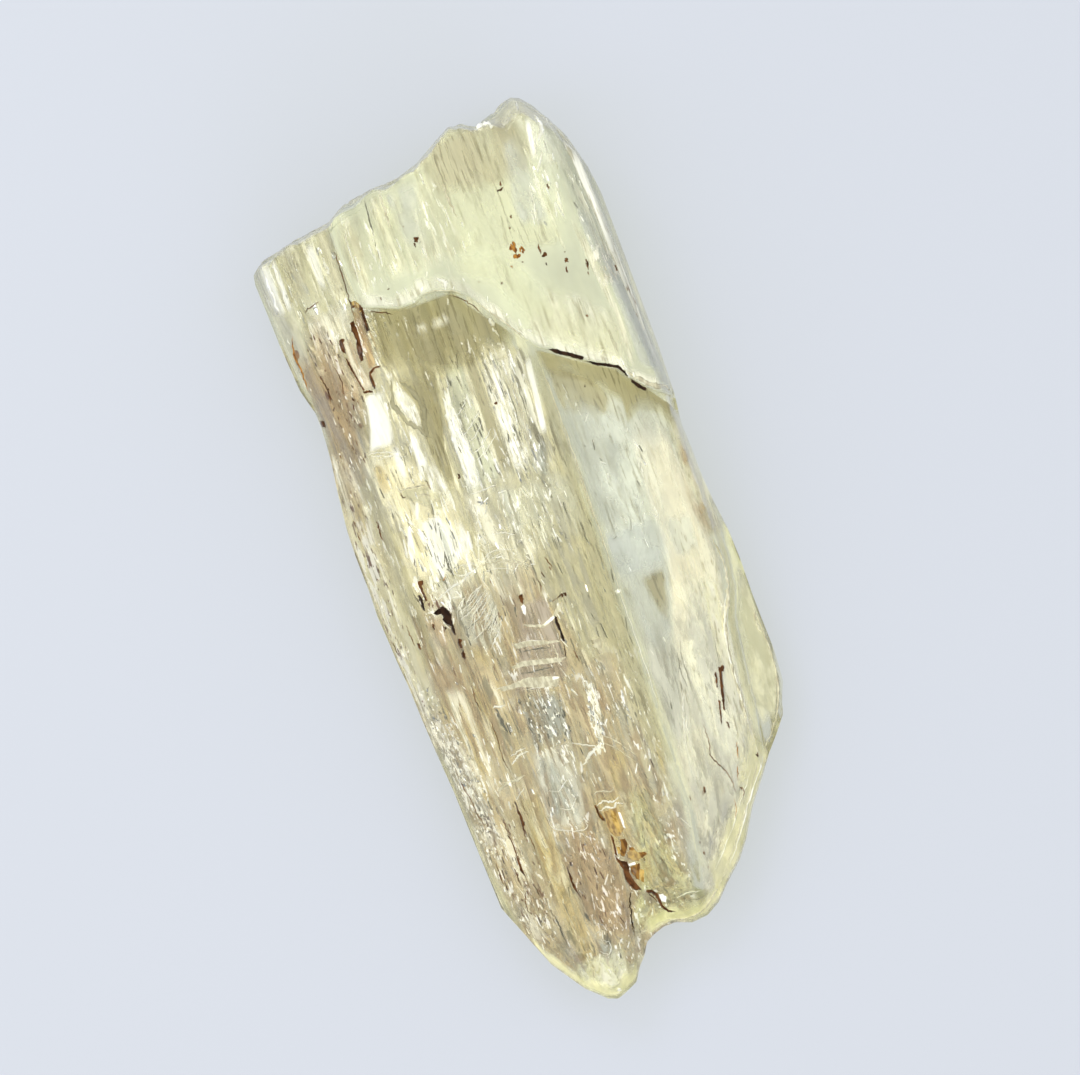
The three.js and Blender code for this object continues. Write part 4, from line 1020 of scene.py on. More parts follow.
# Each film: its kind, the zone it fills, its depth under the front, and its fades, as in film_sheet. A
# depth less than zero is a height over the back.
CLOUDS = (
    # grounds
    ("warm", "body", 1.5, (0.6, 0.2, 0.6)),
    ("sparks", "body", 0.2, (1, 0.3, 0.8)),
    ("dashes", "body", 0.3, (1, 0.3, 0.8)),
    ("cream", "body", 1.4, (1, 0.3, 0.8)),
    ("warm", "left_crown", 0.9, (0.6, 0.2, 0.3)),
    ("pale", "right_face", 1.3, (0.8, 0.15, 0.5)),
    ("tan", "lower_body", 0.8, (2.5, 0.4, 1)),
    ("bark", "lower_body", 0.35, (1.5, 0.3, 0.8)),
    ("ash", "body", 0.6, (1, 0.3, 0.8)),
    ("wisp", "crown_rim", 0.12, (0.4, 0.5, 0.15)),
    # the slab
    ("milk", "slab", 0.7, (0.3, 0.02, 0.3)),
    ("milk", "slab_heart", 0.5, (2.5, 1.5, 2.2)),
    ("khaki", "slab_crown", 0.4, (1.5, 1.4, 0.6)),
    ("olive", "slab_crown", 0.6, (2.5, 1.6, 1.2)),
    ("pale", "slab_bloom", 0.5, (1.2, 1, 0.8)),
    ("haze", "slab_upper", 0.45, (2.5, 0.8, 1.2)),
    ("chalk", "slab_lip", 0.35, (0.5, 0.04, 0.9)),
    ("chalk", "slab_low_right", 0.4, (1, 0.6, 1.6)),
    ("wisp", "slab_stripes", 0.4, (1.2, 0.3, 1.8)),
    ("haze", "slab_heart", 0.3, (2.5, 1.5, 2.2)),
    ("haze", "slab_low_right", 0.2, (1, 0.6, 1.6)),
    ("haze", "slab_stripes", 0.3, (1.2, 0.3, 1.8)),
    ("khaki", "slab_shade", 0.2, (1.8, 0.3, 1)),
    ("mist", "slab_grey", 0.3, (1.8, 0.9, 0.9)),
    ("sparks", "slab_stripes", 0.25, (1.5, 0.5, 1.5)),
    ("cream", "slab_left_cream", 0.3, (1, 0.25, 0.25)),
    ("cream", "slab_rim_line", 0.4, (1.5, 0.3, 0.2)),
    ("mist", "slab_cool", 0.35, (1.6, 0.9, 0.9)),
    ("mist", "slab_mist", 0.2, (0.8, 0.25, 0.25)),
    ("mist", "slab_mist", 0.35, (1.5, 0.4, 0.4)),
    ("grain", "slab_flecks", 0.08, (0.9, 0.5, 0.3)),
    ("bright", "slab_white", 0.15, (0.8, 0.25, 0.3)),
    ("wisp", "slab_white_low", 0.15, (0.7, 0.15, 0.2)),
    ("chalk", "edge_light", 0.15, (1, 0.2, 0.1)),
    ("chalk", "edge_haze", 0.2, (1, 0.5, 0.4)),
    ("grain", "edge_haze", 0.1, (2.5, 0.8, 0.4)),
    ("specks", "edge_light", 0.04, (2, 0.3, 0.1)),
    ("straw", "slab_peak", 0.12, (0.5, 0.8, 0.1)),
    ("milk", "slab_right", 0.15, (1.5, 0.6, 0.1)),
    ("wisp", "slab_right", 0.1, (1.5, 0.6, 0.1)),
    ("chalk", "peak", 0.2, (0.8, 0.8, 0.4)),
    ("white", "peak", 0.1, (1, 0.8, 0.6)),
    # the shoulder and the left side
    ("stain", "shoulder", 0.5, (2.2, 0.4, 1.2)),
    ("stain", "shoulder_deep", 0.4, (1.2, 0.8, 0.8)),
    ("stain", "shoulder_pocket", 0.35, (0.8, 0.4, 0.4)),
    ("gold", "left_gold", 0.2, (2, 0.15, 0.7)),
    ("gold", "left_gold", 0.1, (2.5, 0.1, 0.5)),
    ("specks", "shoulder", 0.06, (1.5, 0.3, 0.8)),
    ("honey", "honey_strip", 0.2, (0.4, 0.12, 0.1)),
    ("gold", "honey_strip", 0.3, (0.4, 0.12, 0.1)),
    ("cream", "arch", 0.25, (0.4, 0.15, 0.15)),
    ("stain", "arch", 0.35, (0.4, 0.15, 0.15)),
    ("slate", "shoulder_grey", 0.3, (1, 0.2, 0.2)),
    ("tan", "shoulder_low", 0.3, (1.2, 0.3, 0.3)),
    ("khaki", "olive_panel", 0.4, (0.8, 0.3, 0.5)),
    ("sparks", "left_crown", 0.2, (1, 0.4, 0.5)),
    ("haze", "left_crown", 0.5, (0.8, 0.4, 0.5)),
    ("wisp", "left_crown", 0.4, (0.8, 0.4, 0.5)),
    ("bright", "crown_streak_1", 0.1, (0.9, 0.15, 0.15)),
    ("bright", "crown_streak_2", 0.1, (0.9, 0.12, 0.12)),
    ("bright", "crown_streak_3", 0.1, (1.2, 0.2, 0.2)),
    ("cream", "left_border", 0.3, (1.5, 0.2, 0.5)),
    ("stain", "left_border", 0.35, (2, 0.3, 0.8)),
    ("chalk", "left_border", 0.2, (2, 0.2, 0.5)),
    ("white", "left_border", 0.1, (2, 0.2, 0.6)),
    ("specks", "left_border", 0.05, (2, 0.2, 0.5)),
    ("khaki", "left_smooth", 0.5, (2, 0.35, 0.3)),
    ("grain", "left_frost", 0.15, (2, 0.3, 0.9)),
    ("cream", "left_low", 0.4, (2, 0.3, 0.6)),
    ("sparks", "left_low", 0.2, (2, 0.3, 0.6)),
    ("specks", "left_low", 0.06, (2, 0.3, 0.6)),
    # under the step: the olive films are painted shade
    ("olive", "step_shade", 0.35, (0.5, 1.6, 0.04)),
    ("white", "olive_flecks", 0.15, (0.8, 0.4, 0.4)),
    ("olive", "dark_band", 0.4, (1.6, 0.2, 0.25)),
    ("chalk", "glint_left", 0.3, (1, 0.4, 0.3)),
    ("white", "glint_left", 0.2, (1, 0.4, 0.3)),
    ("wisp", "glint_mid", 0.3, (2, 1, 1)),
    ("chalk", "leaf", 0.2, (0.5, 0.15, 0.15)),
    ("white", "leaf", 0.15, (0.5, 0.15, 0.15)),
    ("white", "leaf_low", 0.3, (0.8, 0.15, 0.15)),
    ("milk", "bright_band", 0.6, (1, 0.25, 0.15)),
    ("sparks", "bright_band", 0.25, (1, 0.25, 0.15)),
    ("bright", "bright_edge", 0.3, (1.4, 0.12, 0.6)),
    ("olive", "narrow_dark", 0.3, (1, 0.12, 0.12)),
    ("chalk", "white_band", 0.5, (2.5, 0.15, 0.3)),
    ("white", "white_band", 0.3, (2, 0.15, 0.3)),
    ("chalk", "grey_stripes", 0.5, (0.8, 0.25, 0.25)),
    ("dashes", "grey_stripes", 0.2, (0.8, 0.25, 0.25)),
    ("bright", "brilliant_strip", 0.2, (0.8, 0.08, 0.08)),
    ("slate", "grey_patch", 0.3, (0.5, 0.25, 0.25)),
    ("khaki", "khaki_broad", 0.9, (2.5, 1, 0.4)),
    ("khaki", "khaki_band", 0.5, (2, 0.8, 0.05)),
    ("khaki", "khaki_low", 0.8, (2.5, 1, 0.8)),
    # left of the middle
    ("bright", "brilliant_facet", 0.15, (0.5, 0.3, 0.45)),
    ("dashes", "brilliant_facet", 0.08, (0.5, 0.3, 0.3)),
    ("butter", "yellow_field", 0.4, (1, 0.4, 0.6)),
    ("butter", "white_field", 0.5, (1.2, 0.4, 0.6)),
    ("gold", "gold_smear", 0.3, (0.9, 0.4, 0.6)),
    ("gold", "gold_smear", 0.15, (0.5, 0.2, 0.5)),
    ("wisp", "yellow_field", 0.25, (1, 0.4, 0.6)),
    ("bright", "white_mass", 0.12, (0.4, 0.2, 0.25)),
    ("bright", "white_slash_1", 0.15, (0.5, 0.12, 0.15)),
    ("bright", "white_slash_2", 0.12, (0.3, 0.1, 0.12)),
    ("bright", "white_slash_3", 0.2, (0.7, 0.15, 0.12)),
    ("bright", "white_slash_4", 0.2, (0.8, 0.15, 0.12)),
    ("bright", "white_shaft", 0.2, (0.8, 0.2, 0.25)),
    ("khaki", "beige_chip", 0.12, (0.4, 0.15, 0.08)),
    ("straw", "beige_chip", 0.15, (0.3, 0.15, 0.12)),
    ("mist", "white_lines", 0.08, (0.8, 0.15, 0.15)),
    ("wisp", "white_field", 0.3, (1.2, 0.4, 0.6)),
    ("chalk", "cream_field", 0.4, (1, 0.3, 1.2)),
    ("specks", "cream_field", 0.06, (1, 0.3, 1.2)),
    ("cream", "star_field", 0.5, (1.6, 0.8, 0.8)),
    ("pale", "star_pale", 0.35, (1.6, 0.8, 0.8)),
    ("cream", "star_core", 0.2, (0.6, 0.6, 0.6)),
    ("cream", "shoulder_pale", 0.2, (0.8, 0.5, 0.5)),
    ("chalk", "shoulder_pale", 0.4, (0.8, 0.5, 0.5)),
    ("straw", "left_tan", 0.5, (2, 0.1, 0.4)),
    ("gold", "left_tan", 0.25, (2, 0.1, 0.4)),
    ("straw", "left_pale", 0.12, (1.2, 0.25, 0.6)),
    ("straw", "left_warm", 0.12, (2, 0.2, 0.7)),
    ("gold", "left_warm", 0.2, (2, 0.2, 0.7)),
    ("cream", "left_core", 0.3, (2, 0.6, 0.6)),
    ("gold", "left_core", 0.4, (2, 0.6, 0.6)),
    ("cream", "left_flank", 0.3, (1.5, 0.4, 0.5)),
    ("gold", "left_flank", 0.4, (1.5, 0.4, 0.5)),
    ("pale", "feather_lens", 0.7, (0.8, 0.4, 0.4)),
    ("slate", "feather_deep", 0.9, (0.8, 0.4, 0.4)),
    ("gold", "gold_wedge", 0.5, (0.8, 0.3, 0.4)),
    ("stain", "beige_left", 0.5, (1.6, 1.2, 1.2)),
    ("rose", "ladder", 0.25, (0.5, 0.3, 0.15)),
    ("slate", "block_upper", 0.3, (0.8, 0.3, 0.3)),
    ("sparks", "block_upper", 0.15, (0.6, 0.3, 0.3)),
    ("chalk", "block_lower", 0.4, (0.5, 0.2, 0.5)),
    ("slate", "block_lower", 0.3, (1.5, 0.4, 0.6)),
    ("wisp", "white_column", 0.2, (1.2, 0.15, 0.15)),
    ("tan", "tan_patch", 0.3, (1.2, 0.5, 0.8)),
    ("cream", "mid_pale_1", 0.25, (1, 0.6, 0.6)),
    ("cream", "mid_pale_2", 0.25, (1, 0.8, 0.8)),
    # the right side
    ("pale", "facet", 0.9, (2, 0.15, 1.5)),
    ("pale", "facet_cloud", 0.6, (2, 0.3, 1.5)),
    ("pale", "facet_light", 0.5, (2, 0.4, 1.2)),
    ("mist", "facet_low", 0.3, (1.4, 0.3, 0.5)),
    ("chalk", "facet_edge", 0.3, (1, 0.8, 0.8)),
    ("olive", "facet_top", 0.8, (0.8, 0.6, 1.6)),
    ("slate", "facet_shade", 0.4, (0.8, 0.4, 0.3)),
    ("straw", "flange", 0.12, (1.2, 0.9, 0.1)),
    ("pale", "flange", 0.4, (1.2, 0.3, 0.2)),
    ("olive", "under_step", 0.3, (0.6, 1.3, 0.03)),
    ("olive", "olive_patch", 0.2, (1.4, 0.8, 0.5)),
    ("chalk", "cream_band", 0.7, (3.5, 0.25, 0.3)),
    ("pearl", "cream_band", 0.45, (4, 0.4, 0.3)),
    ("opal", "right_lower_face", 0.35, (4, 1, 0.3)),
    ("chalk", "cream_core", 0.4, (2.5, 0.8, 0.4)),
    ("opal", "cream_core", 0.25, (3, 0.4, 0.6)),
    ("ash", "right_lower_face", 0.2, (3, 0.5, 0.6)),
    ("wisp", "cream_band", 0.15, (3, 0.3, 0.5)),
    ("chalk", "right_seam", 0.15, (1.5, 0.1, 0.15)),
    ("sparks", "right_seam", 0.08, (1, 0.1, 0.1)),
    ("lime", "cream_border", 0.2, (1, 0.5, 0.1)),
    ("chalk", "cream_border", 0.14, (1, 0.4, 0.1)),
    ("chalk", "cream_low", 0.5, (1.2, 0.8, 0.3)),
    ("cream", "cream_low", 0.3, (1.2, 0.8, 0.2)),
    ("cream", "right_border", 0.25, (1, 0.3, 0.2)),
    ("stain", "right_brown", 0.15, (0.8, 0.25, 0.2)),
    ("stain", "right_brown_low", 0.15, (0.8, 0.4, 0.3)),
    ("rose", "lavender", 0.6, (2.5, 0.5, 0.5)),
    ("pearl", "right_low", 0.5, (2, 0.25, 0.8)),
    ("wisp", "right_low", 0.3, (2.5, 0.5, 0.8)),
    ("gold", "gold_field", 0.5, (1.2, 0.4, 0.5)),
    ("gold", "gold_right", 0.5, (1.4, 0.3, 0.3)),
    # the lower end
    ("lime", "foot", 0.1, (0.8, 0.05, 0.9)),
    ("lime", "right_foot", 0.1, (0.8, 0.05, 2.4)),
    ("cream", "right_foot", 0.2, (0.8, 0.05, 1.5)),
    ("lime", "left_foot", 0.1, (0.8, 0.05, 0.9)),
    ("stain", "rust_wash", 0.2, (0.8, 0.4, 0.5)),
    ("gold", "crack_gold", 0.2, (0.6, 0.4, 0.4)),
    ("rose", "rose_notch", 0.12, (0.3, 0.2, 0.2)),
    ("gold", "amber_wash", 0.15, (0.8, 0.3, 0.4)),
    ("gold", "amber_wash_high", 0.15, (0.8, 0.2, 0.3)),
    ("stain", "rose_field", 0.5, (1.8, 0.7, 0.8)),
    ("tan", "rose_field", 0.3, (1.8, 0.9, 0.9)),
    ("sparks", "rose_field", 0.2, (1.8, 0.6, 0.6)),
    ("wisp", "smooth_strip", 0.4, (3, 0.25, 0.2)),
    ("gold", "smooth_strip", 0.8, (4, 0.4, 0.4)),
    ("chalk", "left_lobe", 0.15, (0.5, 0.4, 0.4)),
    ("green", "left_lobe", 0.4, (0.5, 0.4, 0.4)),
    ("green", "right_lobe", 0.7, (3.5, 0.6, 0.9)),
    ("chalk", "right_lobe", 1, (1.6, 0.8, 1.2)),
    ("slate", "cavity", 0.3, (0.5, 0.2, 0.2)),
    # the broken upper end, and the sides near the back
    ("milk", "upper_end", 0.5, (0.6, 0.4, 0.4)),
    ("chalk", "upper_end", 0.22, (0.6, 0.3, 0.4)),
    ("cream", "upper_end", 0.14, (0.6, 0.3, 0.4)),
    ("wisp", "upper_end", 0.08, (0.6, 0.3, 0.4)),
    ("haze", "back_left", -0.35, (1.5, 0.3, 0.8)),
    ("stain", "back_shoulder", -0.2, (2.5, 0.3, 0.8)),
    ("cream", "back_left", -0.15, (1.5, 0.2, 0.8)),
    ("haze", "back_right", -0.35, (1.5, 0.8, 0.3)),
    ("cream", "back_right", -0.15, (1.5, 0.8, 0.2)),
    ("wisp", "back_middle", -0.3, (1.5, 0.8, 0.8)),
    # soft shades and pale strips over the films above
    ("mist", "mid_shade", 0.15, (0.9, 0.2, 0.8)),
    ("pale", "cream_shade", 0.1, (0.9, 0.5, 0.4)),
    ("khaki", "tan_strip", 0.1, (0.8, 0.15, 0.15)),
    ("cream", "seam_pale", 0.1, (0.5, 0.15, 0.15)),
)


# ---------------------------------------------------------------- copies on points


def shape_object(name, points, faces, edge):
    """An object that stays out of the scene and is only copied."""
    mesh = bpy.data.meshes.new(name)
    mesh.from_pydata(points, [], faces)
    store(mesh, "edge", edge)
    return bpy.data.objects.new(name, mesh)


def lens_shape(name, spokes=14, rings=3, thickness=0.03):
    """A thin closed lens of unit radius in the XY plane, with an edge attribute that is 0 at its rim."""
    points, edge = [], []
    for side in (1, -1):
        for ring in range(rings + (side == 1)):
            share = ring / rings
            height = side * thickness * (1 - share**2)
            for spoke in range(spokes if ring else 1):
                turn = 2 * math.pi * spoke / spokes
                points.append((share * math.cos(turn), share * math.sin(turn), height))
                edge.append(1 - share**2)
    top = [0] + [1 + ring * spokes for ring in range(rings)]
    start = 1 + rings * spokes
    base = [start] + [start + 1 + ring * spokes for ring in range(rings - 1)] + [top[-1]]
    faces = []
    for rows, order in ((top, 1), (base, -1)):
        for spoke in range(spokes):
            following = (spoke + 1) % spokes
            faces.append((rows[0], rows[1] + spoke, rows[1] + following)[::order])
            for inner, outer in zip(rows[1:], rows[2:]):
                faces.append((inner + spoke, outer + spoke, outer + following, inner + following)[::order])
    lens = shape_object(name, points, faces, edge)
    lens.data.shade_smooth()
    return lens


def shard_shape(name, corners=6, thickness=0.05):
    """A thin closed plate with an irregular outline of about unit radius in the XY plane."""
    rng = np.random.default_rng(3)
    turns = (np.arange(corners) + rng.uniform(-0.3, 0.3, corners)) * 2 * math.pi / corners
    reach = rng.uniform(0.75, 1.0, corners)
    outline = np.stack([reach * np.cos(turns), reach * np.sin(turns)], axis=-1)
    points = [(x, y, z) for z in (thickness, -thickness) for x, y in outline]
    ring = list(range(corners))
    faces = [ring, [corners + i for i in reversed(ring)]]
    faces += [(i, i + corners, (i + 1) % corners + corners, (i + 1) % corners) for i in ring]
    return shape_object(name, points, faces, np.ones(len(points)))


def geometry_tree(name, **sockets):
    """An empty Geometry Nodes tree with named inputs, and what its input node puts out."""
    tree = bpy.data.node_groups.new(name, "GeometryNodeTree")
    for socket, kind in sockets.items():
        tree.interface.new_socket(socket, in_out="INPUT", socket_type="NodeSocket" + kind)
    tree.interface.new_socket("Mesh", in_out="OUTPUT", socket_type="NodeSocketGeometry")
    return tree, add_node(tree, "NodeGroupInput").outputs


def named(tree, name, kind="FLOAT_VECTOR"):
    """The value of a point's named attribute."""
    node = add_node(tree, "GeometryNodeInputNamedAttribute", {"Name": name}, data_type=kind)
    return node.outputs["Attribute"]


def ended(tree, given, geometry):
    """The tree, once its instances are real and painted and put out as its mesh."""
    real = add_node(tree, "GeometryNodeRealizeInstances", {"Geometry": geometry})
    painted = add_node(tree, "GeometryNodeSetMaterial", {
        "Geometry": real.outputs["Geometry"], "Material": given["Material"],
    })
    add_node(tree, "NodeGroupOutput", {"Mesh": painted.outputs["Geometry"]})
    return tree


def scatter_tree():
    """Instances of one shape on points, turned and sized by the points' own attributes."""
    found = bpy.data.node_groups.get("scatter")
    if found:
        return found
    tree, given = geometry_tree(
        "scatter", Points="Geometry", Shape="Object", Material="Material", Variation="Float", Seed="Int")
    shape = add_node(tree, "GeometryNodeObjectInfo", {"Object": given["Shape"]})
    rotation = add_node(tree, "FunctionNodeEulerToRotation", {"Euler": named(tree, "turn")})
    low = add_node(tree, "ShaderNodeMath", {0: 1, 1: given["Variation"]}, operation="SUBTRACT")
    high = add_node(tree, "ShaderNodeMath", {0: 1, 1: given["Variation"]})
    chance = add_node(tree, "FunctionNodeRandomValue", {
        2: low.outputs["Value"], 3: high.outputs["Value"], "Seed": given["Seed"],
    }, data_type="FLOAT")
    scale = add_node(tree, "ShaderNodeVectorMath", {
        0: named(tree, "size"), "Scale": chance.outputs[1],
    }, operation="SCALE")
    copies = add_node(tree, "GeometryNodeInstanceOnPoints", {
        "Points": given["Points"],
        "Instance": shape.outputs["Geometry"],
        "Rotation": rotation.outputs["Rotation"],
        "Scale": scale.outputs["Vector"],
    })
    return ended(tree, given, copies.outputs["Instances"])


def thread_tree():
    """A closed tapering ribbon swept along each line of edges, as wide as its points' own width says."""
    found = bpy.data.node_groups.get("threads")
    if found:
        return found
    tree, given = geometry_tree(
        "threads", Lines="Geometry", Aspect="Float", Sides="Int", Material="Material")
    curve = add_node(tree, "GeometryNodeMeshToCurve", {"Mesh": given["Lines"]})
    level = add_node(tree, "GeometryNodeSetCurveNormal", {"Curve": curve.outputs["Curve"]}, mode="Z_UP")
    ring = add_node(tree, "GeometryNodeCurvePrimitiveCircle", {"Resolution": given["Sides"], "Radius": 0.5})
    flat = add_node(tree, "ShaderNodeCombineXYZ", {"X": 1, "Y": given["Aspect"], "Z": 1})
    profile = add_node(tree, "GeometryNodeTransform", {
        "Geometry": ring.outputs["Curve"], "Scale": flat.outputs["Vector"],
    })
    sweep = add_node(tree, "GeometryNodeCurveToMesh", {
        "Curve": level.outputs["Curve"],
        "Profile Curve": profile.outputs["Geometry"],
        "Scale": named(tree, "width", "FLOAT"),
        "Fill Caps": True,
    })
    return ended(tree, given, sweep.outputs["Mesh"])


def nodes_piece(name, source, tree, values):
    """A piece made from a mesh by a Geometry Nodes tree, whose inputs are set by name."""
    holder = add_object(name + "_holder", source)
    modifier = holder.modifiers.new("nodes", "NODES")
    modifier.node_group = tree
    for item in tree.interface.items_tree:
        if item.in_out == "INPUT" and item.name in values:
            modifier[item.identifier] = values[item.name]
    graph = bpy.context.evaluated_depsgraph_get()
    mesh = bpy.data.meshes.new_from_object(holder.evaluated_get(graph), depsgraph=graph)
    mesh.name = name
    bpy.data.objects.remove(holder)
    return finish_filling(add_object(name, mesh))


def finish_piece(piece):
    """Lets a piece ride the crystal's body."""
    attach(piece, "root")
    return piece


def finish_filling(piece):
    """Finishes a piece that lies inside the crystal, which lets the light through to what is under it."""
    piece.visible_shadow = False
    return finish_piece(piece)


def scattered(name, shape, places, turns, sizes, material, variation=0.0, seed=0):
    """A piece made of copies of a shape. Places and sizes are in millimetres, and turns in degrees."""
    points = bpy.data.meshes.new(name + "_points")
    points.from_pydata(np.asarray(places) * MM, [], [])
    store(points, "turn", np.radians(turns), "FLOAT_VECTOR")
    store(points, "size", np.asarray(sizes) * MM, "FLOAT_VECTOR")
    values = {"Shape": shape, "Material": material, "Variation": variation, "Seed": seed}
    return nodes_piece(name, points, scatter_tree(), values)


FLAKE_MARGIN = 0.35  # how far the middle of a flake keeps from the crystal's outline
DEEPEST_SHARE = 0.8  # of the crystal's thickness
LEAN_SPREAD = 3.0
TIP_MARGIN, TIP_COVER = 0.6, 0.02  # how far a tip keeps from the ends, and from the front and the back
TIP_SHRINK = 0.15
SIDE_MARGIN, SIDE_SHRINK = 0.4, 0.3


def swarm(rng, zone, count, length, width, depth, tilt, swing, lean=0):
    """Random places, turns and sizes of flakes in a zone.

    depth is the range under the front, tilt how far they roll about c and swing how far they turn from it.
    lean tips them all towards the upper end.
    """
    x, y = kept_inside(*lofted(zone, rng.uniform(0, 1, count), rng.uniform(0, 1, count)), FLAKE_MARGIN)
    top, bottom = zone_top(zone, x, y), bottom_at(x, y)
    z = top - np.minimum(rng.uniform(*depth, count), (top - bottom) * DEEPEST_SHARE)
    turns = [rng.normal(-lean, LEAN_SPREAD, count), rng.normal(0, tilt, count), rng.normal(0, swing, count)]
    along = length * rng.uniform(0.3, 1.3, count) / 2
    sizes = np.stack([width * rng.uniform(0.4, 1.4, count) / 2, along, np.ones(count)], axis=-1)
    # A flake shrinks where its tip would come out of an end of the crystal, or its side out of a long edge.
    for tip_y in (y - along, y + along):
        across = across_at(x, tip_y)
        fits = tip_y < read_at(UPPER_END, across) - TIP_MARGIN
        fits &= tip_y > read_at(LOWER_END, across) + TIP_MARGIN
        fits &= (zone_top(zone, x, tip_y) > z + TIP_COVER) & (bottom_at(x, tip_y) < z - TIP_COVER)
        sizes[~fits] *= TIP_SHRINK
    across = across_at(x + np.sign(x) * sizes[:, 0], y)
    sizes[np.abs(across) > HALF_WIDTH - SIDE_MARGIN] *= SIDE_SHRINK
    return np.stack([x, y, z], axis=-1), np.stack(turns, axis=-1), sizes
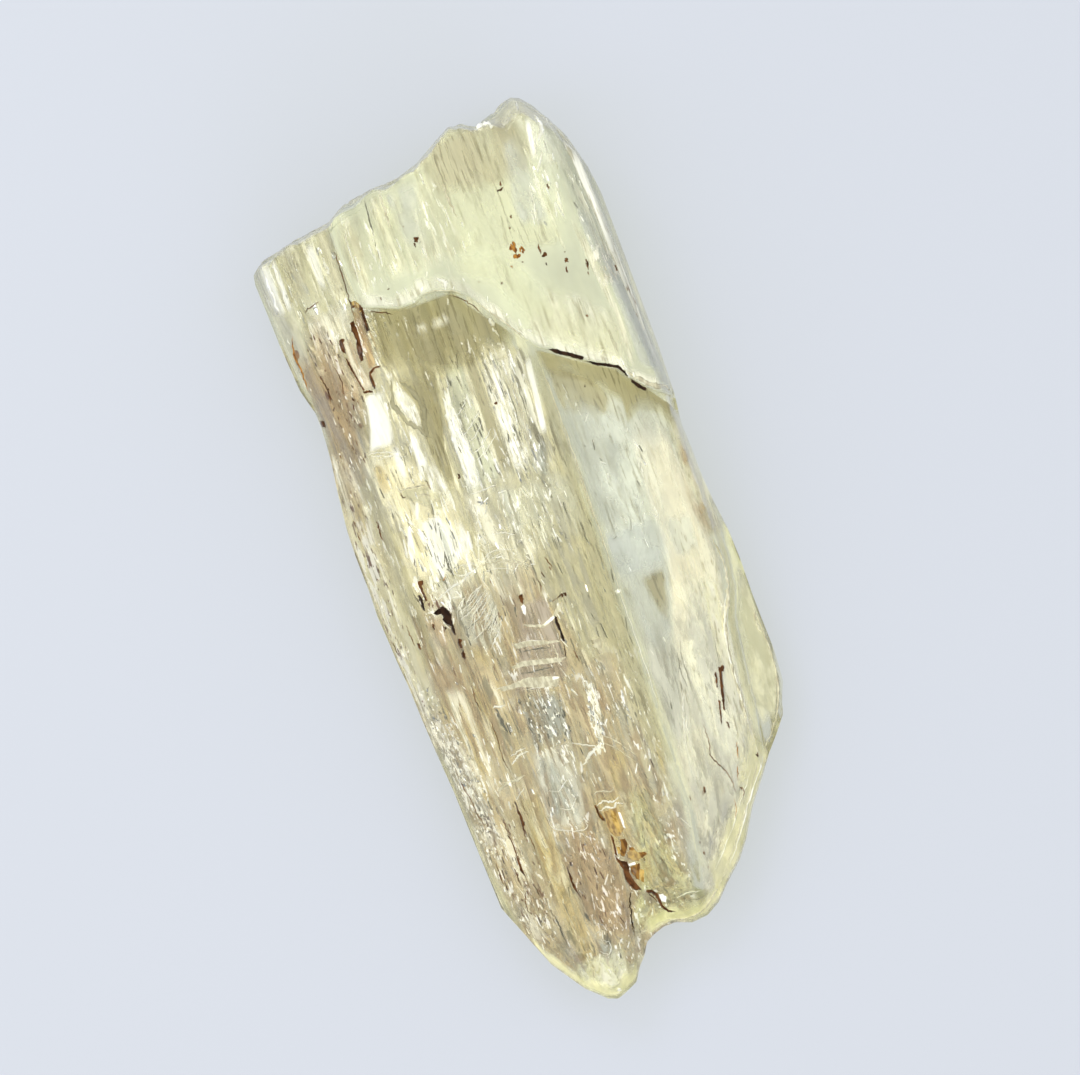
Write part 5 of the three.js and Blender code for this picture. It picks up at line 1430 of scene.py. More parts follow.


# Swarms of flakes: finish, zone, count, length, width, depth range, tilt and swing. Those with a film's
# finish are lenses, and the others are shards.
# The white shards are painted glints, where facets and fractures catch the light.
SWARMS = (
    ("wisp", "body", 60, 8, 1.3, (2, 6.5), 60, 3),
    ("wisp", "slab", 30, 8, 1.3, (2, 8), 60, 3),
    ("wisp", "slab_stripes", 14, 4, 0.4, (0.3, 1.5), 15, 2),
    ("wisp", "slab_bloom", 20, 3, 0.3, (0.2, 0.9), 20, 8),
    ("wisp", "slab", 30, 4, 0.7, (0.6, 3), 15, 4),
    ("wisp", "bright_band", 20, 3.5, 0.35, (0.3, 1.2), 25, 3),
    ("wisp", "white_band", 16, 3.5, 0.3, (0.3, 1.2), 25, 3),
    ("wisp", "grey_stripes", 14, 3.5, 0.25, (0.3, 1.2), 25, 3),
    ("wisp", "khaki_broad", 40, 3, 0.4, (0.4, 3), 30, 5),
    ("wisp", "khaki_low", 24, 3, 0.4, (0.4, 3), 30, 4),
    ("wisp", "star_field", 30, 2, 0.5, (0.4, 2), 30, 20),
    ("wisp", "cream_band", 24, 4, 0.45, (0.4, 2.5), 20, 5),
    ("wisp", "facet_cloud", 16, 2, 0.5, (0.5, 3), 30, 15),
    ("wisp", "left_low", 24, 3, 0.4, (0.3, 1.5), 25, 3),
    ("wisp", "right_lobe", 24, 2.5, 0.4, (0.4, 2), 25, 6),
    ("glow", "white_field", 46, 1.7, 0.2, (0.03, 0.2), 14, 9),
    ("glow", "yellow_field", 16, 1.2, 0.1, (0.03, 0.2), 14, 14),
    ("glow", "bright_edge", 26, 1.6, 0.16, (0.05, 0.4), 15, 5),
    ("glow", "block_upper", 34, 0.4, 0.12, (0.05, 0.3), 15, 12),
    ("glow", "white_column", 70, 0.7, 0.11, (0.03, 0.3), 15, 12),
    ("mirror", "white_column", 30, 0.7, 0.14, (0.03, 0.4), 6, 10),
    ("glow", "rose_field", 40, 0.9, 0.1, (0.05, 0.5), 15, 22),
    ("glow", "left_frost", 160, 0.35, 0.12, (0.02, 0.3), 20, 30),
    ("glow", "left_border", 120, 0.35, 0.12, (0.02, 0.3), 20, 20),
    ("glow", "left_low", 80, 0.6, 0.12, (0.02, 0.4), 20, 10),
    ("glow", "shoulder", 40, 0.8, 0.12, (0.02, 0.4), 20, 8),
    ("glow", "slab_bloom", 18, 1.7, 0.08, (0.03, 0.2), 15, 9),
    ("glow", "star_field", 30, 0.8, 0.06, (0.05, 0.5), 20, 40),
    ("glow", "cream_field", 20, 0.8, 0.12, (0.05, 0.5), 20, 30),
    ("glow", "block_lower", 26, 0.9, 0.08, (0.05, 0.4), 20, 20),
    ("mirror", "khaki_broad", 50, 1.1, 0.12, (0.1, 1), 5, 5),
    ("mirror", "white_field", 20, 1.2, 0.12, (0.03, 0.2), 5, 8),
    ("mirror", "yellow_field", 8, 0.9, 0.1, (0.03, 0.2), 5, 12),
    ("mirror", "star_field", 40, 0.9, 0.15, (0.1, 0.9), 6, 25),
    ("mirror", "bright_band", 40, 1.4, 0.14, (0.1, 0.8), 5, 4),
    ("mirror", "white_band", 30, 1.4, 0.16, (0.1, 0.8), 5, 4),
    ("mirror", "grey_stripes", 24, 1.2, 0.1, (0.1, 0.8), 5, 4),
    ("mirror", "block_upper", 34, 0.5, 0.16, (0.05, 0.5), 6, 12),
    ("mirror", "left_frost", 120, 0.4, 0.16, (0.03, 0.4), 6, 30),
    ("mirror", "khaki_low", 50, 1, 0.12, (0.1, 1), 6, 8),
    ("mirror", "right_lobe", 30, 0.7, 0.14, (0.1, 0.8), 6, 10),
    ("mirror", "left_crown", 60, 1.4, 0.14, (0.05, 0.6), 6, 4),
    ("mirror", "left_low", 50, 0.7, 0.12, (0.05, 0.5), 6, 8),
    ("mirror", "slab_bloom", 10, 0.8, 0.08, (0.03, 0.3), 6, 10),
    ("umber", "shoulder", 60, 0.5, 0.07, (0, 0.15), 15, 14),
    ("umber", "left_border", 60, 0.4, 0.06, (0, 0.15), 15, 12),
    ("umber", "left_low", 50, 0.8, 0.07, (0, 0.15), 15, 5),
    ("umber", "rose_field", 40, 0.8, 0.07, (0, 0.2), 12, 10),
    ("umber", "lower_body", 60, 0.9, 0.05, (0, 0.2), 12, 6),
    ("glow", "lower_body", 160, 0.9, 0.09, (0.03, 0.4), 15, 14),
    ("mirror", "lower_body", 120, 0.9, 0.12, (0.05, 0.6), 6, 12),
    ("mirror", "rose_field", 40, 0.6, 0.12, (0.03, 0.3), 6, 20),
    ("glow", "right_lower_face", 26, 0.9, 0.06, (0.03, 0.3), 15, 12),
    ("shade", "right_lower_face", 14, 0.6, 0.05, (0.03, 0.3), 15, 12),
    ("umber", "cream_low", 16, 0.6, 0.07, (0.02, 0.2), 15, 12),
    ("shade", "facet", 16, 0.9, 0.04, (0.05, 0.4), 15, 30),
    ("glow", "facet", 30, 0.9, 0.06, (0.05, 0.4), 15, 25),
    ("glow", "slab_bloom", 16, 1.5, 0.13, (0.03, 0.2), 15, 12),
    ("glow", "slab_right", 26, 1.1, 0.1, (0.03, 0.2), 20, 10),
    ("shade", "slab_right", 12, 0.8, 0.06, (0.03, 0.2), 20, 12),
    ("glow", "slab_stripes", 30, 1.2, 0.1, (0.03, 0.3), 15, 5),
    ("glow", "slab_lip", 30, 0.7, 0.12, (0.02, 0.2), 15, 30),
    ("shade", "lower_body", 90, 1, 0.07, (0.02, 0.3), 15, 7),
    ("glow", "glint_mid", 40, 1, 0.09, (0.05, 0.4), 15, 10),
    ("shade", "white_mass", 34, 1.3, 0.05, (0.02, 0.12), 15, 8),
    ("shade", "yellow_field", 14, 0.9, 0.05, (0.02, 0.12), 15, 16),
    ("shade", "bright_band", 24, 1.2, 0.08, (0.05, 0.4), 15, 5),
    ("shade", "white_band", 20, 1, 0.07, (0.05, 0.4), 15, 5),
    ("shade", "khaki_broad", 30, 1.2, 0.05, (0.05, 0.4), 15, 5),
    ("shade", "block_upper", 30, 0.6, 0.14, (0.05, 0.4), 15, 8),
    ("shade", "left_frost", 60, 0.4, 0.1, (0.02, 0.3), 15, 20),
)
FLAKE_SEED = 7
MIRROR_LEAN = 11.0  # leaned by this many degrees, a flake throws light from the upper end straight up

ORANGE_SPOTS = 4  # the first spots are orange, and the others dark brown
IRON_GRAINS = 9  # in each spot
IRON_SPOKES = 9
IRON_MARGIN = 0.3  # how far they keep from the crystal's outline
IRON_VARIATION, IRON_SEED = 0.15, 4
SLOPE_REACH = 0.3  # how far to each side the slope under one is measured
# Iron spots on the front: place, half width and half length, and how far it is turned from c.
IRON_SPOTS = (
    (5, 20.15, 0.28, 0.42, 10), (5.45, 19.85, 0.2, 0.22, 0), (4.95, 19.55, 0.3, 0.2, 30),
    (4.4, 19, 0.06, 0.1, 0), (5.2, 19.05, 0.07, 0.06, 0), (6.55, 19.45, 0.09, 0.34, -12),
    (6.7, 18.95, 0.2, 0.24, 20), (6.65, 18.4, 0.06, 0.1, 0), (7.95, 18.15, 0.16, 0.22, 30),
    (7.8, 17.6, 0.07, 0.3, -8), (8.1, 18.75, 0.05, 0.06, 0), (9.25, 17.45, 0.1, 0.38, -14),
    (9.1, 16.85, 0.05, 0.15, 0), (11, 16.6, 0.05, 0.26, 8), (11.45, 16.55, 0.07, 0.14, 0),
    (5.6, 24.55, 0.06, 0.2, -20), (5.45, 24.15, 0.22, 0.1, 25), (-1, 22.95, 0.16, 0.24, -20),
    (-1.2, 22.6, 0.06, 0.2, -35), (-1.5, 24.05, 0.06, 0.06, 0), (5.5, 22.2, 0.09, 0.12, 0),
    (5.2, 21.5, 0.14, 0.05, 25), (2, 18.8, 0.05, 0.06, 0), (3.4, 18.2, 0.08, 0.1, 0),
    (8.05, 14.15, 0.12, 0.14, -30), (8.55, 23.2, 0.07, 0.24, -20), (-3.9, 20.45, 0.16, 0.05, 30),
    (-4.6, 20, 0.06, 0.12, -15), (11.3, 13.2, 0.14, 0.06, 20), (-10.1, 15.6, 0.1, 0.2, 0),
    (-11.3, 13.5, 0.1, 0.3, 0), (-8.7, 14.3, 0.08, 0.2, 0), (4.6, -18.6, 0.1, 0.28, -8),
    (8.8, -17.7, 0.12, 0.2, 30), (7, -19.4, 0.1, 0.12, 0), (3.1, -22.6, 0.06, 0.14, 0),
    (6.3, 9.8, 0.05, 0.14, 0), (0.3, 10.8, 0.14, 0.12, 30), (-3.75, 7, 0.1, 0.2, 0),
    (0.05, -2.9, 0.09, 0.1, 0), (-0.1, -0.9, 0.06, 0.16, 0), (8.45, -11.2, 0.16, 0.09, 20),
)


# ---------------------------------------------------------------- cracks and bright lines

# Each line: its filling, its width, and the points it passes through, as x, y, x, y and so on.
LINES = (
    ("umber", 0.09, (-5.6, 19.5, -4.9, 19.2, -4.2, 18.8)),
    ("umber", 0.07, (-0.2, 18.7, 0.5, 18.2, 1, 17.6, 1.5, 16.7)),
    # brown cracks of the shoulder
    ("umber", 0.1, (-6.45, 24.2, -6.5, 22.6, -6.62, 20.8, -6.7, 19.6)),
    ("umber", 0.08, (-9.8, 20.95, -9.2, 21.15, -8.6, 21.3)),
    ("ochre", 0.16, (-11.1, 19.9, -11.4, 18.6, -11.35, 17.2, -11.4, 16)),
    ("umber", 0.1, (-10.3, 16.6, -10.1, 15.5, -10.2, 14.6)),
    ("umber", 0.08, (-9.2, 17, -9, 15.8, -9.2, 14.8)),
    ("shade", 0.13, (-3.35, 26.6, -3.45, 25.5, -3.55, 24.1)),
    ("shade", 0.07, (-3.6, 23.9, -3.8, 22.6)),
    # the left side
    ("umber", 0.16, (-10, 6.1, -10.05, 5.4, -10.1, 4.7)),
    ("umber", 0.1, (-11.55, 6.7, -11.5, 6.2)),
    ("umber", 0.09, (-11.6, 5.8, -11.6, 5.1)),
    ("umber", 0.09, (-10.6, -1.2, -10.55, -2, -10.5, -2.7)),
    ("umber", 0.1, (-11.9, -1.9, -11.85, -3)),
    ("umber", 0.06, (-7.8, -6.5, -7.9, -7.4, -7.8, -8.4)),
    ("umber", 0.06, (-7.4, -9.2, -7.4, -10.5, -7.5, -12, -7.3, -13.2)),
    ("shade", 0.2, (-6.8, -8.6, -6.7, -9.4, -6.6, -10.4)),
    ("umber", 0.08, (-10.85, -11.8, -10.6, -13.5, -10.4, -15, -10.2, -16.4)),
    ("umber", 0.07, (-9, -15.7, -8.9, -17.5, -8.85, -19.3, -8.8, -20.9)),
    ("umber", 0.18, (-8.95, -18.4, -8.9, -19.9)),
    ("umber", 0.22, (-7.8, -15, -7.72, -16.3, -7.9, -17.4)),
    ("umber", 0.07, (-7.6, -17.3, -7.55, -18.7)),
    ("umber", 0.07, (-9.35, -19.3, -9.35, -20.6)),
    ("umber", 0.08, (-9.5, -22.4, -9.4, -21.6, -9, -20.8)),
    ("umber", 0.07, (-10.4, -18.4, -10.45, -20.2)),
    ("umber", 0.06, (-8.6, -20.2, -8.3, -21.8)),
    ("shade", 0.16, (-7.9, -23, -7.75, -24.2, -7.7, -25.4)),
    # the middle
    ("soil", 0.07, (-1, -6, -1.1, -6.9)),
    ("umber", 0.07, (-0.5, -6.6, -0.4, -7.5)),
    ("umber", 0.08, (-0.2, -0.05, -0.05, -0.5, 0.02, -1)),
    ("umber", 0.08, (-0.75, -0.9, -0.65, -1.4)),
    ("umber", 0.07, (-1.2, -1.2, -1.1, -1.8, -1.25, -2.2)),
    ("umber", 0.09, (-2.7, -1.9, -2.5, -2.3)),
    ("umber", 0.08, (-0.75, -3.1, -0.3, -2.95, 0.1, -2.8, 0.28, -2.95)),
    ("umber", 0.1, (-7.9, 7.3, -7.8, 7, -7.6, 6.9)),
    ("shade", 0.08, (-7.6, 7.45, -6.9, 7.4, -6.3, 7.3)),
    # the right side
    ("shade", 0.07, (8.7, -9, 8.5, -10.2)),
    ("umber", 0.09, (6.05, -14.4, 6, -15.6, 5.8, -16.6, 6.2, -17.5, 6.55, -18.5, 6.5, -19.6)),
    ("ochre", 0.08, (7.75, -16.3, 7.6, -16.9, 7.45, -17.4)),
    ("ochre", 0.08, (7.3, -17.8, 7.1, -18.3, 6.95, -18.9)),
    ("ochre", 0.07, (6.85, -19.2, 7.1, -19.6, 6.9, -20)),
    ("ochre", 0.06, (6.3, -19.9, 6.2, -20.6, 5.9, -21.2)),
    ("shade", 0.05, (5.6, -0.9, 5.9, -0.3, 6.1, 0.4, 5.9, 0.9)),
    # the lower end
    ("soil", 0.11, (-2.4, -23.4, -2.67, -23.85, -2.9, -24.7, -3.15, -25.8, -3.25, -26.4)),
    ("umber", 0.08, (-1.42, -23.9, -1.17, -24.3, -0.92, -24.8)),
    ("umber", 0.09, (-2.75, -17, -2.7, -17.9, -2.4, -18.3)),
    ("umber", 0.18, (-5.9, -20.3, -5.95, -21.5, -5.8, -22.6)),
    ("shade", 0.24, (-5.8, -23.6, -5.75, -24.3)),
    ("shade", 0.07, (-5.9, -29.2, -5.4, -29.1, -4.9, -28.8)),
    ("shade", 0.07, (1.2, -25.3, 1.8, -25.45, 2.4, -25.3)),
    # painted highlights and glints of the upper half
    ("glow", 0.34, (-11.4, 24.9, -11.3, 23.2, -11.35, 21.4)),
    ("glow", 0.18, (-11, 24.8, -10.95, 23.6)),
    ("glow", 0.22, (-10.6, 25, -10.65, 24, -10.75, 21)),
    ("glow", 0.2, (-8.05, 24.9, -8, 23.6, -7.9, 22.4)),
    ("glow", 0.13, (-7.35, 24, -7.3, 22.8)),
    ("glow", 0.1, (-9.85, 20.2, -9.85, 18.3)),
    ("glow", 0.14, (-11.5, 20.1, -11.45, 19.2)),
    ("glow", 0.2, (-6.85, 19, -6.75, 17.6)),
    ("glow", 0.1, (-8.1, 21.9, -8.1, 20.2)),
    ("ivory", 0.12, (-6, 26.3, -6.05, 25.6)),
    ("glow", 0.09, (-5.4, 25, -5.5, 23.2, -5.65, 20.6)),
    ("ivory", 0.13, (-2.2, 27, -2.3, 25.4, -2.35, 24.3)),
    ("ivory", 0.16, (2, 25.9, 1.95, 24.6, 2.1, 23.4)),
    ("glow", 0.14, (-3.65, 23.5, -3.75, 22)),
    ("glow", 0.22, (8.5, 29.6, 8.45, 28.8)),
    ("glow", 0.42, (9.35, 28.2, 9.45, 27.2, 9, 26.4)),
    ("glow", 0.16, (10.05, 28.4, 10, 27.4)),
    ("glow", 0.12, (9, 27, 8.6, 26, 8.5, 25.2)),
    ("glow", 0.55, (5.2, 29, 5.8, 28.7, 6.5, 28.4)),
    ("glow", 0.3, (-0.6, 20, -0.2, 19.6, -0.3, 19.1)),
    ("glow", 0.14, (-0.4, 18.6, -0.45, 18.1)),
    ("ivory", 0.1, (-1.9, 19.35, -1, 19.2, -0.2, 18.95, 0.6, 18.35)),
    ("ivory", 0.12, (1.5, 17, 2.2, 16.1, 3, 15, 3.6, 14.1)),
    ("ivory", 0.34, (9.3, 9.7, 9.9, 9, 10.6, 8.3, 11.4, 7.9, 11.7, 7.6)),
    ("glow", 0.3, (1.8, 16.3, 1.9, 15.7)),
    ("glow", 0.13, (2, 14.9, 1.75, 15.7)),
    # painted highlight lines under the step
    ("glow", 0.42, (-2.9, 12.3, -3.1, 10.6, -3.2, 8.6, -3.1, 6)),
    ("glow", 0.16, (-2.5, 9.4, -2.4, 7.6)),
    ("glow", 0.1, (-2.9, 9.3, -1.9, 9.9, -0.9, 10.7)),
    ("glow", 0.07, (-2.9, 10.6, -2.1, 11.2, -1.4, 11.9)),
    ("glow", 0.1, (-2.5, 8, -1.5, 8.5, -0.6, 9.3)),
    ("glow", 0.07, (-2.3, 7.6, -1.3, 8.1, -0.5, 8.8)),
    ("glow", 0.06, (-2.8, 8.7, -1.7, 9.3, -0.9, 10)),
    ("glow", 0.1, (0.35, 12.9, 0.35, 10.5, 0.3, 8.6)),
    ("glow", 0.22, (0.6, 11, 0.65, 9.6, 0.5, 8.2)),
    ("glow", 0.3, (-0.1, 6.4, 0.5, 6.3, 0.6, 5.7)),
    ("ivory", 0.08, (1.7, 13, 1.7, 10, 1.5, 7.4)),
    ("shade", 0.08, (1.35, 12.6, 1.4, 10.4, 1.3, 8.4)),
    ("shade", 0.07, (2.1, 12.6, 2, 10.4, 1.9, 8.6)),
    ("moss", 0.42, (-5.8, 14.7, -6.3, 13.2, -5.9, 12, -5.1, 10.9, -4.9, 10.2)),
    ("moss", 0.36, (-5.4, 14.5, -4.75, 13.4, -4.5, 12, -4.75, 11, -4.7, 10)),
    ("glow", 0.1, (-3.4, 5.6, -1.6, 5.6)),
    ("glow", 0.1, (-9, 10.5, -8.2, 10.35, -7.2, 10)),
    ("glow", 0.08, (-8.6, 9.9, -7.6, 9.9, -6.7, 9.5)),
    ("ivory", 0.16, (-7.9, 7.5, -6.9, 7.4, -5.9, 7.2)),
    ("ivory", 0.12, (-7.3, 6.8, -6.3, 6.6, -5.5, 5.9, -4.9, 5.2)),
    ("shade", 0.07, (-6.3, 5.9, -6.35, 4.9, -6.3, 4.1)),
    ("shade", 0.06, (-6.75, 3.9, -6.8, 3, -6.7, 2.2)),
    ("shade", 0.07, (-6.45, 10.4, -6.35, 9.8, -6.4, 9.4)),
    ("shade", 0.09, (-5.95, 8.6, -5.8, 8.35, -5.95, 8.1)),
    ("umber", 0.06, (-6, 7.6, -5.9, 7.2, -5.85, 6.8)),
    ("umber", 0.06, (-8.5, 2.9, -8.6, 2.4, -8.5, 2.2)),
    ("ochre", 0.08, (-7.4, 0.9, -7.1, 0.8, -6.9, 1)),
    ("glow", 0.09, (-8.9, 10.35, -8.2, 10.1, -7.4, 9.75)),
    # the star
    ("glow", 0.08, (-3, 2.55, -2.3, 2.45, -1.5, 1.95)),
    ("glow", 0.09, (-4.65, 0.8, -4.2, 1.9, -3.7, 3.2)),
    ("glow", 0.07, (-4.6, 0.9, -3.4, 1.5, -2, 1.15)),
    ("ivory", 0.14, (-4.6, 0.8, -3.2, 0.7, -2, 0.2, -1.2, -0.4)),
    ("glow", 0.16, (-4.7, 0.9, -5.9, 0.3, -7.2, 0, -8.4, -0.5)),
    ("glow", 0.08, (-4.7, 0.9, -5.4, 1.9, -5.6, 3)),
    ("glow", 0.07, (-4.6, 0.7, -4.65, -0.1, -4.5, -0.9)),
    ("glow", 0.08, (-6.6, 1, -5.6, 1.3, -4.6, 1)),
    ("glow", 0.07, (-4.4, 0.3, -3.4, 0.3, -2.3, -0.3)),
    # the feathered lens
    ("glow", 0.07, (-4.9, -0.4, -6, -1, -6.9, -2.1)),
    ("glow", 0.06, (-4.7, -0.8, -5.7, -1.6, -6.6, -2.9)),
    ("glow", 0.08, (-5.2, -1.2, -5.9, -2.1, -6.5, -3.3)),
    ("glow", 0.06, (-4.5, -1.6, -5.3, -2.6, -6, -3.9)),
    ("glow", 0.06, (-5.9, -0.6, -6.8, -1.3, -7.2, -2.4)),
    ("glow", 0.12, (-4.2, -2.8, -4.8, -3.7, -5.7, -4.7)),
    ("glow", 0.06, (-4.4, -2, -5, -3, -5.5, -4)),
    # the ladder
    ("glow", 0.1, (-4, -4.92, -3.1, -5.05, -2.1, -5.4)),
    ("shade", 0.09, (-3.9, -5.55, -2.8, -5.7, -1.9, -5.95)),
    ("glow", 0.1, (-4.4, -6.2, -3.2, -6.4, -1.9, -6.75)),
    ("glow", 0.12, (-6.3, -7.35, -5, -7.5, -3.4, -7.75, -2, -8.05)),
    ("glow", 0.08, (-4.4, -8.05, -3.2, -8.3, -2.6, -8.6)),
    ("shade", 0.1, (-4.4, -6.9, -3.2, -7.1, -2.2, -7.2)),
    ("ivory", 0.12, (-1.7, -5.8, -1.6, -6.6, -1.7, -7.2)),
    # the block and the column
    ("glow", 0.08, (-6.05, -16.3, -5.95, -17.4, -5.2, -17.95, -3.9, -18.35, -3.65, -17.6)),
    ("glow", 0.05, (-5.4, -15, -4.7, -15.3, -4.1, -14.8)),
    ("glow", 0.05, (-5, -16.4, -4.4, -16.7, -3.7, -16.1)),
    ("glow", 0.22, (-4.9, -12.3, -4.8, -12.8)),
    ("glow", 0.18, (-3.6, -13.1, -3.5, -13.7)),
    ("glow", 0.13, (-0.3, -9.1, -0.5, -10.5, -0.8, -12, -0.85, -13.2)),
    ("glow", 0.1, (-0.05, -9.6, -0.3, -11.4)),
    ("glow", 0.1, (-2.8, -12.5, -1.8, -13, -1, -13.4)),
    ("glow", 0.26, (-2.6, -14.15, -1.8, -13.7, -1.1, -13.25)),
    ("ivory", 0.07, (-1.2, -12.4, 0, -13.3, 1.1, -14.8)),
    ("ivory", 0.06, (-1, -12.9, 0.2, -14.2, 0.9, -15.2)),
    ("ivory", 0.3, (-8.5, -13.95, -7.9, -13.6, -7.2, -13.6, -6.5, -13.5)),
    ("glow", 0.18, (-7, -12.45, -6.4, -12.1, -5.7, -12)),
    ("glow", 0.1, (-6.9, -12, -6.3, -11.75, -5.8, -11.8)),
    ("glow", 0.1, (-7.6, -14.9, -6.9, -14.3)),
    ("glow", 0.22, (-6.9, -8.4, -6.2, -8.6)),
    # the right side
    ("ivory", 0.09, (4, 12.6, 4.05, 8, 3.95, 4, 3.9, 0, 3.75, -4)),
    ("glow", 0.09, (3.75, -4, 3.7, -8, 3.6, -11.5)),
    ("ivory", 0.32, (10.95, -2.8, 11, -5, 10.5, -6.9, 9.7, -8.6, 9.15, -11, 8.95, -14, 8.7, -16.6)),
    ("glow", 0.16, (10.6, -6.4, 9.85, -8, 9.3, -10.2, 9.1, -13, 8.9, -15.4)),
    ("glow", 0.09, (5.6, -11.4, 5.1, -12.8, 4.7, -14.2, 4.4, -15.4)),
    ("glow", 0.07, (5.1, -13.4, 4.8, -14.6)),
    ("shade", 0.07, (6, -9.2, 5.8, -10.4, 5.85, -11.6)),
    ("shade", 0.05, (6.5, -8.4, 6.2, -9.6, 6.15, -11.2, 5.9, -12.8)),
    ("shade", 0.05, (8.9, -8.6, 8.75, -9.6)),
    ("shade", 0.06, (8.55, -9.9, 8.45, -10.6)),
    ("ivory", 0.22, (9.1, -16.2, 8.6, -18, 6.9, -20.6, 5.2, -22.8, 3.4, -24.8)),
    ("ivory", 0.16, (11.9, -7.8, 12.05, -10, 11.9, -13, 11, -15.6, 9.6, -17.3)),
    ("ivory", 0.3, (11.9, -8, 11.8, -9.2, 11.9, -10.2)),
    # painted highlights along the rim of the lower end
    ("ivory", 0.3, (-2.6, -26.3, -1, -26, 0.4, -26.4, 1.8, -26.2, 3, -25.3, 4.8, -23.7)),
    ("glow", 0.26, (4.4, -24.1, 5.8, -22.4, 7, -20.6, 8.4, -18.9, 9.3, -17.7)),
    ("glow", 0.14, (3, -24.2, 4.6, -22.7, 6.6, -20.2, 8.2, -18.2)),
    # the lower end
    ("glow", 0.15, (-2.7, -17.1, -2.1, -16.95, -1.5, -17.2, -1, -17.05)),
    ("glow", 0.17, (-2.6, -17.5, -2.1, -17.42, -1.55, -17.62, -1.3, -17.35, -0.9, -17.55)),
    ("ivory", 0.1, (-2.7, -16.4, -2.2, -16.2, -1.4, -16.5, -1.1, -16.3)),
    ("glow", 0.2, (2.15, -17.1, 2.1, -18.4)),
    ("glow", 0.07, (2.4, -19.8, 2.9, -20.6)),
    ("glow", 0.34, (-5.7, -29.7, -5.4, -29.3)),
    ("ivory", 0.12, (-5.9, -25.5, -5.3, -25.2, -4.9, -25.5)),
    ("glow", 0.07, (-5.8, -26.5, -5.3, -26.9, -5, -26.3, -5.4, -25.8)),
    ("glow", 0.1, (0.3, -24.9, 1.2, -24.8, 2, -25)),
    ("ivory", 0.1, (-6.9, -26.9, -6.6, -27.6, -6.9, -28.2)),
)
# Fans of fine lines: kind, width, the two arcs the lines run between, how many, and how far they bow.
LENS_ARCS = ((-4.9, -0.2), (-4.4, -1.4), (-4.25, -2.9)), ((-7.0, -1.4), (-7.1, -3.0), (-6.0, -4.8))
STAR_ARCS = ((-4.75, 0.6), (-4.6, 0.9), (-4.4, 0.7)), ((-8.0, 0.2), (-5.2, 3.4), (-1.2, 0.6))
FANS = (
    ("glow", 0.07, *LENS_ARCS, 15, 0.35),
    ("shade", 0.07, *LENS_ARCS, 9, 0.35),
    ("glow", 0.06, *STAR_ARCS, 12, 0.5),
)
FAN_LATEST_START, FAN_EARLIEST_END = 0.3, 0.6  # shares of the run from the first arc to the second
FAN_POINTS = 3  # the fewest to a line
FAN_SEED = 31


def fan_lines():
    """The lines of all the fans, as in LINES."""
    rng = np.random.default_rng(FAN_SEED)
    for kind, width, first, second, count, bow in FANS:
        shares = (np.arange(count) + rng.uniform(0.1, 0.9, count)) / count
        starts, ends = (
            [np.interp(shares, np.linspace(0, 1, len(arc)), places) for places in np.transpose(arc)]
            for arc in (first, second)
        )
        for start, end in zip(np.transpose(starts), np.transpose(ends)):
            low, high = np.sort(rng.uniform(0, 1, 2) * (0.35, 1) + (0, 0.1))
            run = end - start
            middle = (start + end) / 2 + bow * rng.uniform(0.4, 1.2) * np.array((-run[1], run[0])) / 4
            line = thread_line((start, middle, end))
            first_kept = int(min(low, FAN_LATEST_START) * len(line))
            last_kept = int(max(high, FAN_EARLIEST_END) * len(line))
            yield kind, width, line[first_kept:max(last_kept, first_kept + FAN_POINTS)]


# How far the tops of the lines lie under the front, and how thick they are for their width.
LINE_DEPTH = {
    "soil": -0.10, "umber": -0.05, "ochre": -0.01, "shade": 0.15, "moss": 0.12, "glow": 0.10, "ivory": 0.12,
}
LINE_ASPECT = {
    "soil": 1.2, "umber": 1.2, "ochre": 0.6, "shade": 0.35, "moss": 0.2, "glow": 0.35, "ivory": 0.35,
}
THREAD_SIDES = 6
THREAD_MARGIN = 0.25  # how far a line keeps from the crystal's outline
THREAD_COVER = 0.3  # and from its back
STEP_GAP = 0.08  # how far a line that crosses the step keeps from the slab's edge
BLUNT = 0.02  # the share of its length that each end of a line is short of a point
FIRST_RAGGED_SEED = 500


def thread_line(points, steps=7):
    """A smooth line through a few points, from a Catmull-Rom spline."""
    given = as_points(points)
    ends = np.concatenate([[2 * given[0] - given[1]], given, [2 * given[-1] - given[-2]]])
    share = np.linspace(0, 1, steps, endpoint=False)[:, None]
    line = []
    for a, b, c, d in zip(ends, ends[1:], ends[2:], ends[3:]):
        line.append(0.5 * (2 * b + (c - a) * share + (2 * a - 5 * b + 4 * c - d) * share**2
                           + (3 * b - a - 3 * c + d) * share**3))
    return np.concatenate([*line, given[-1:]])


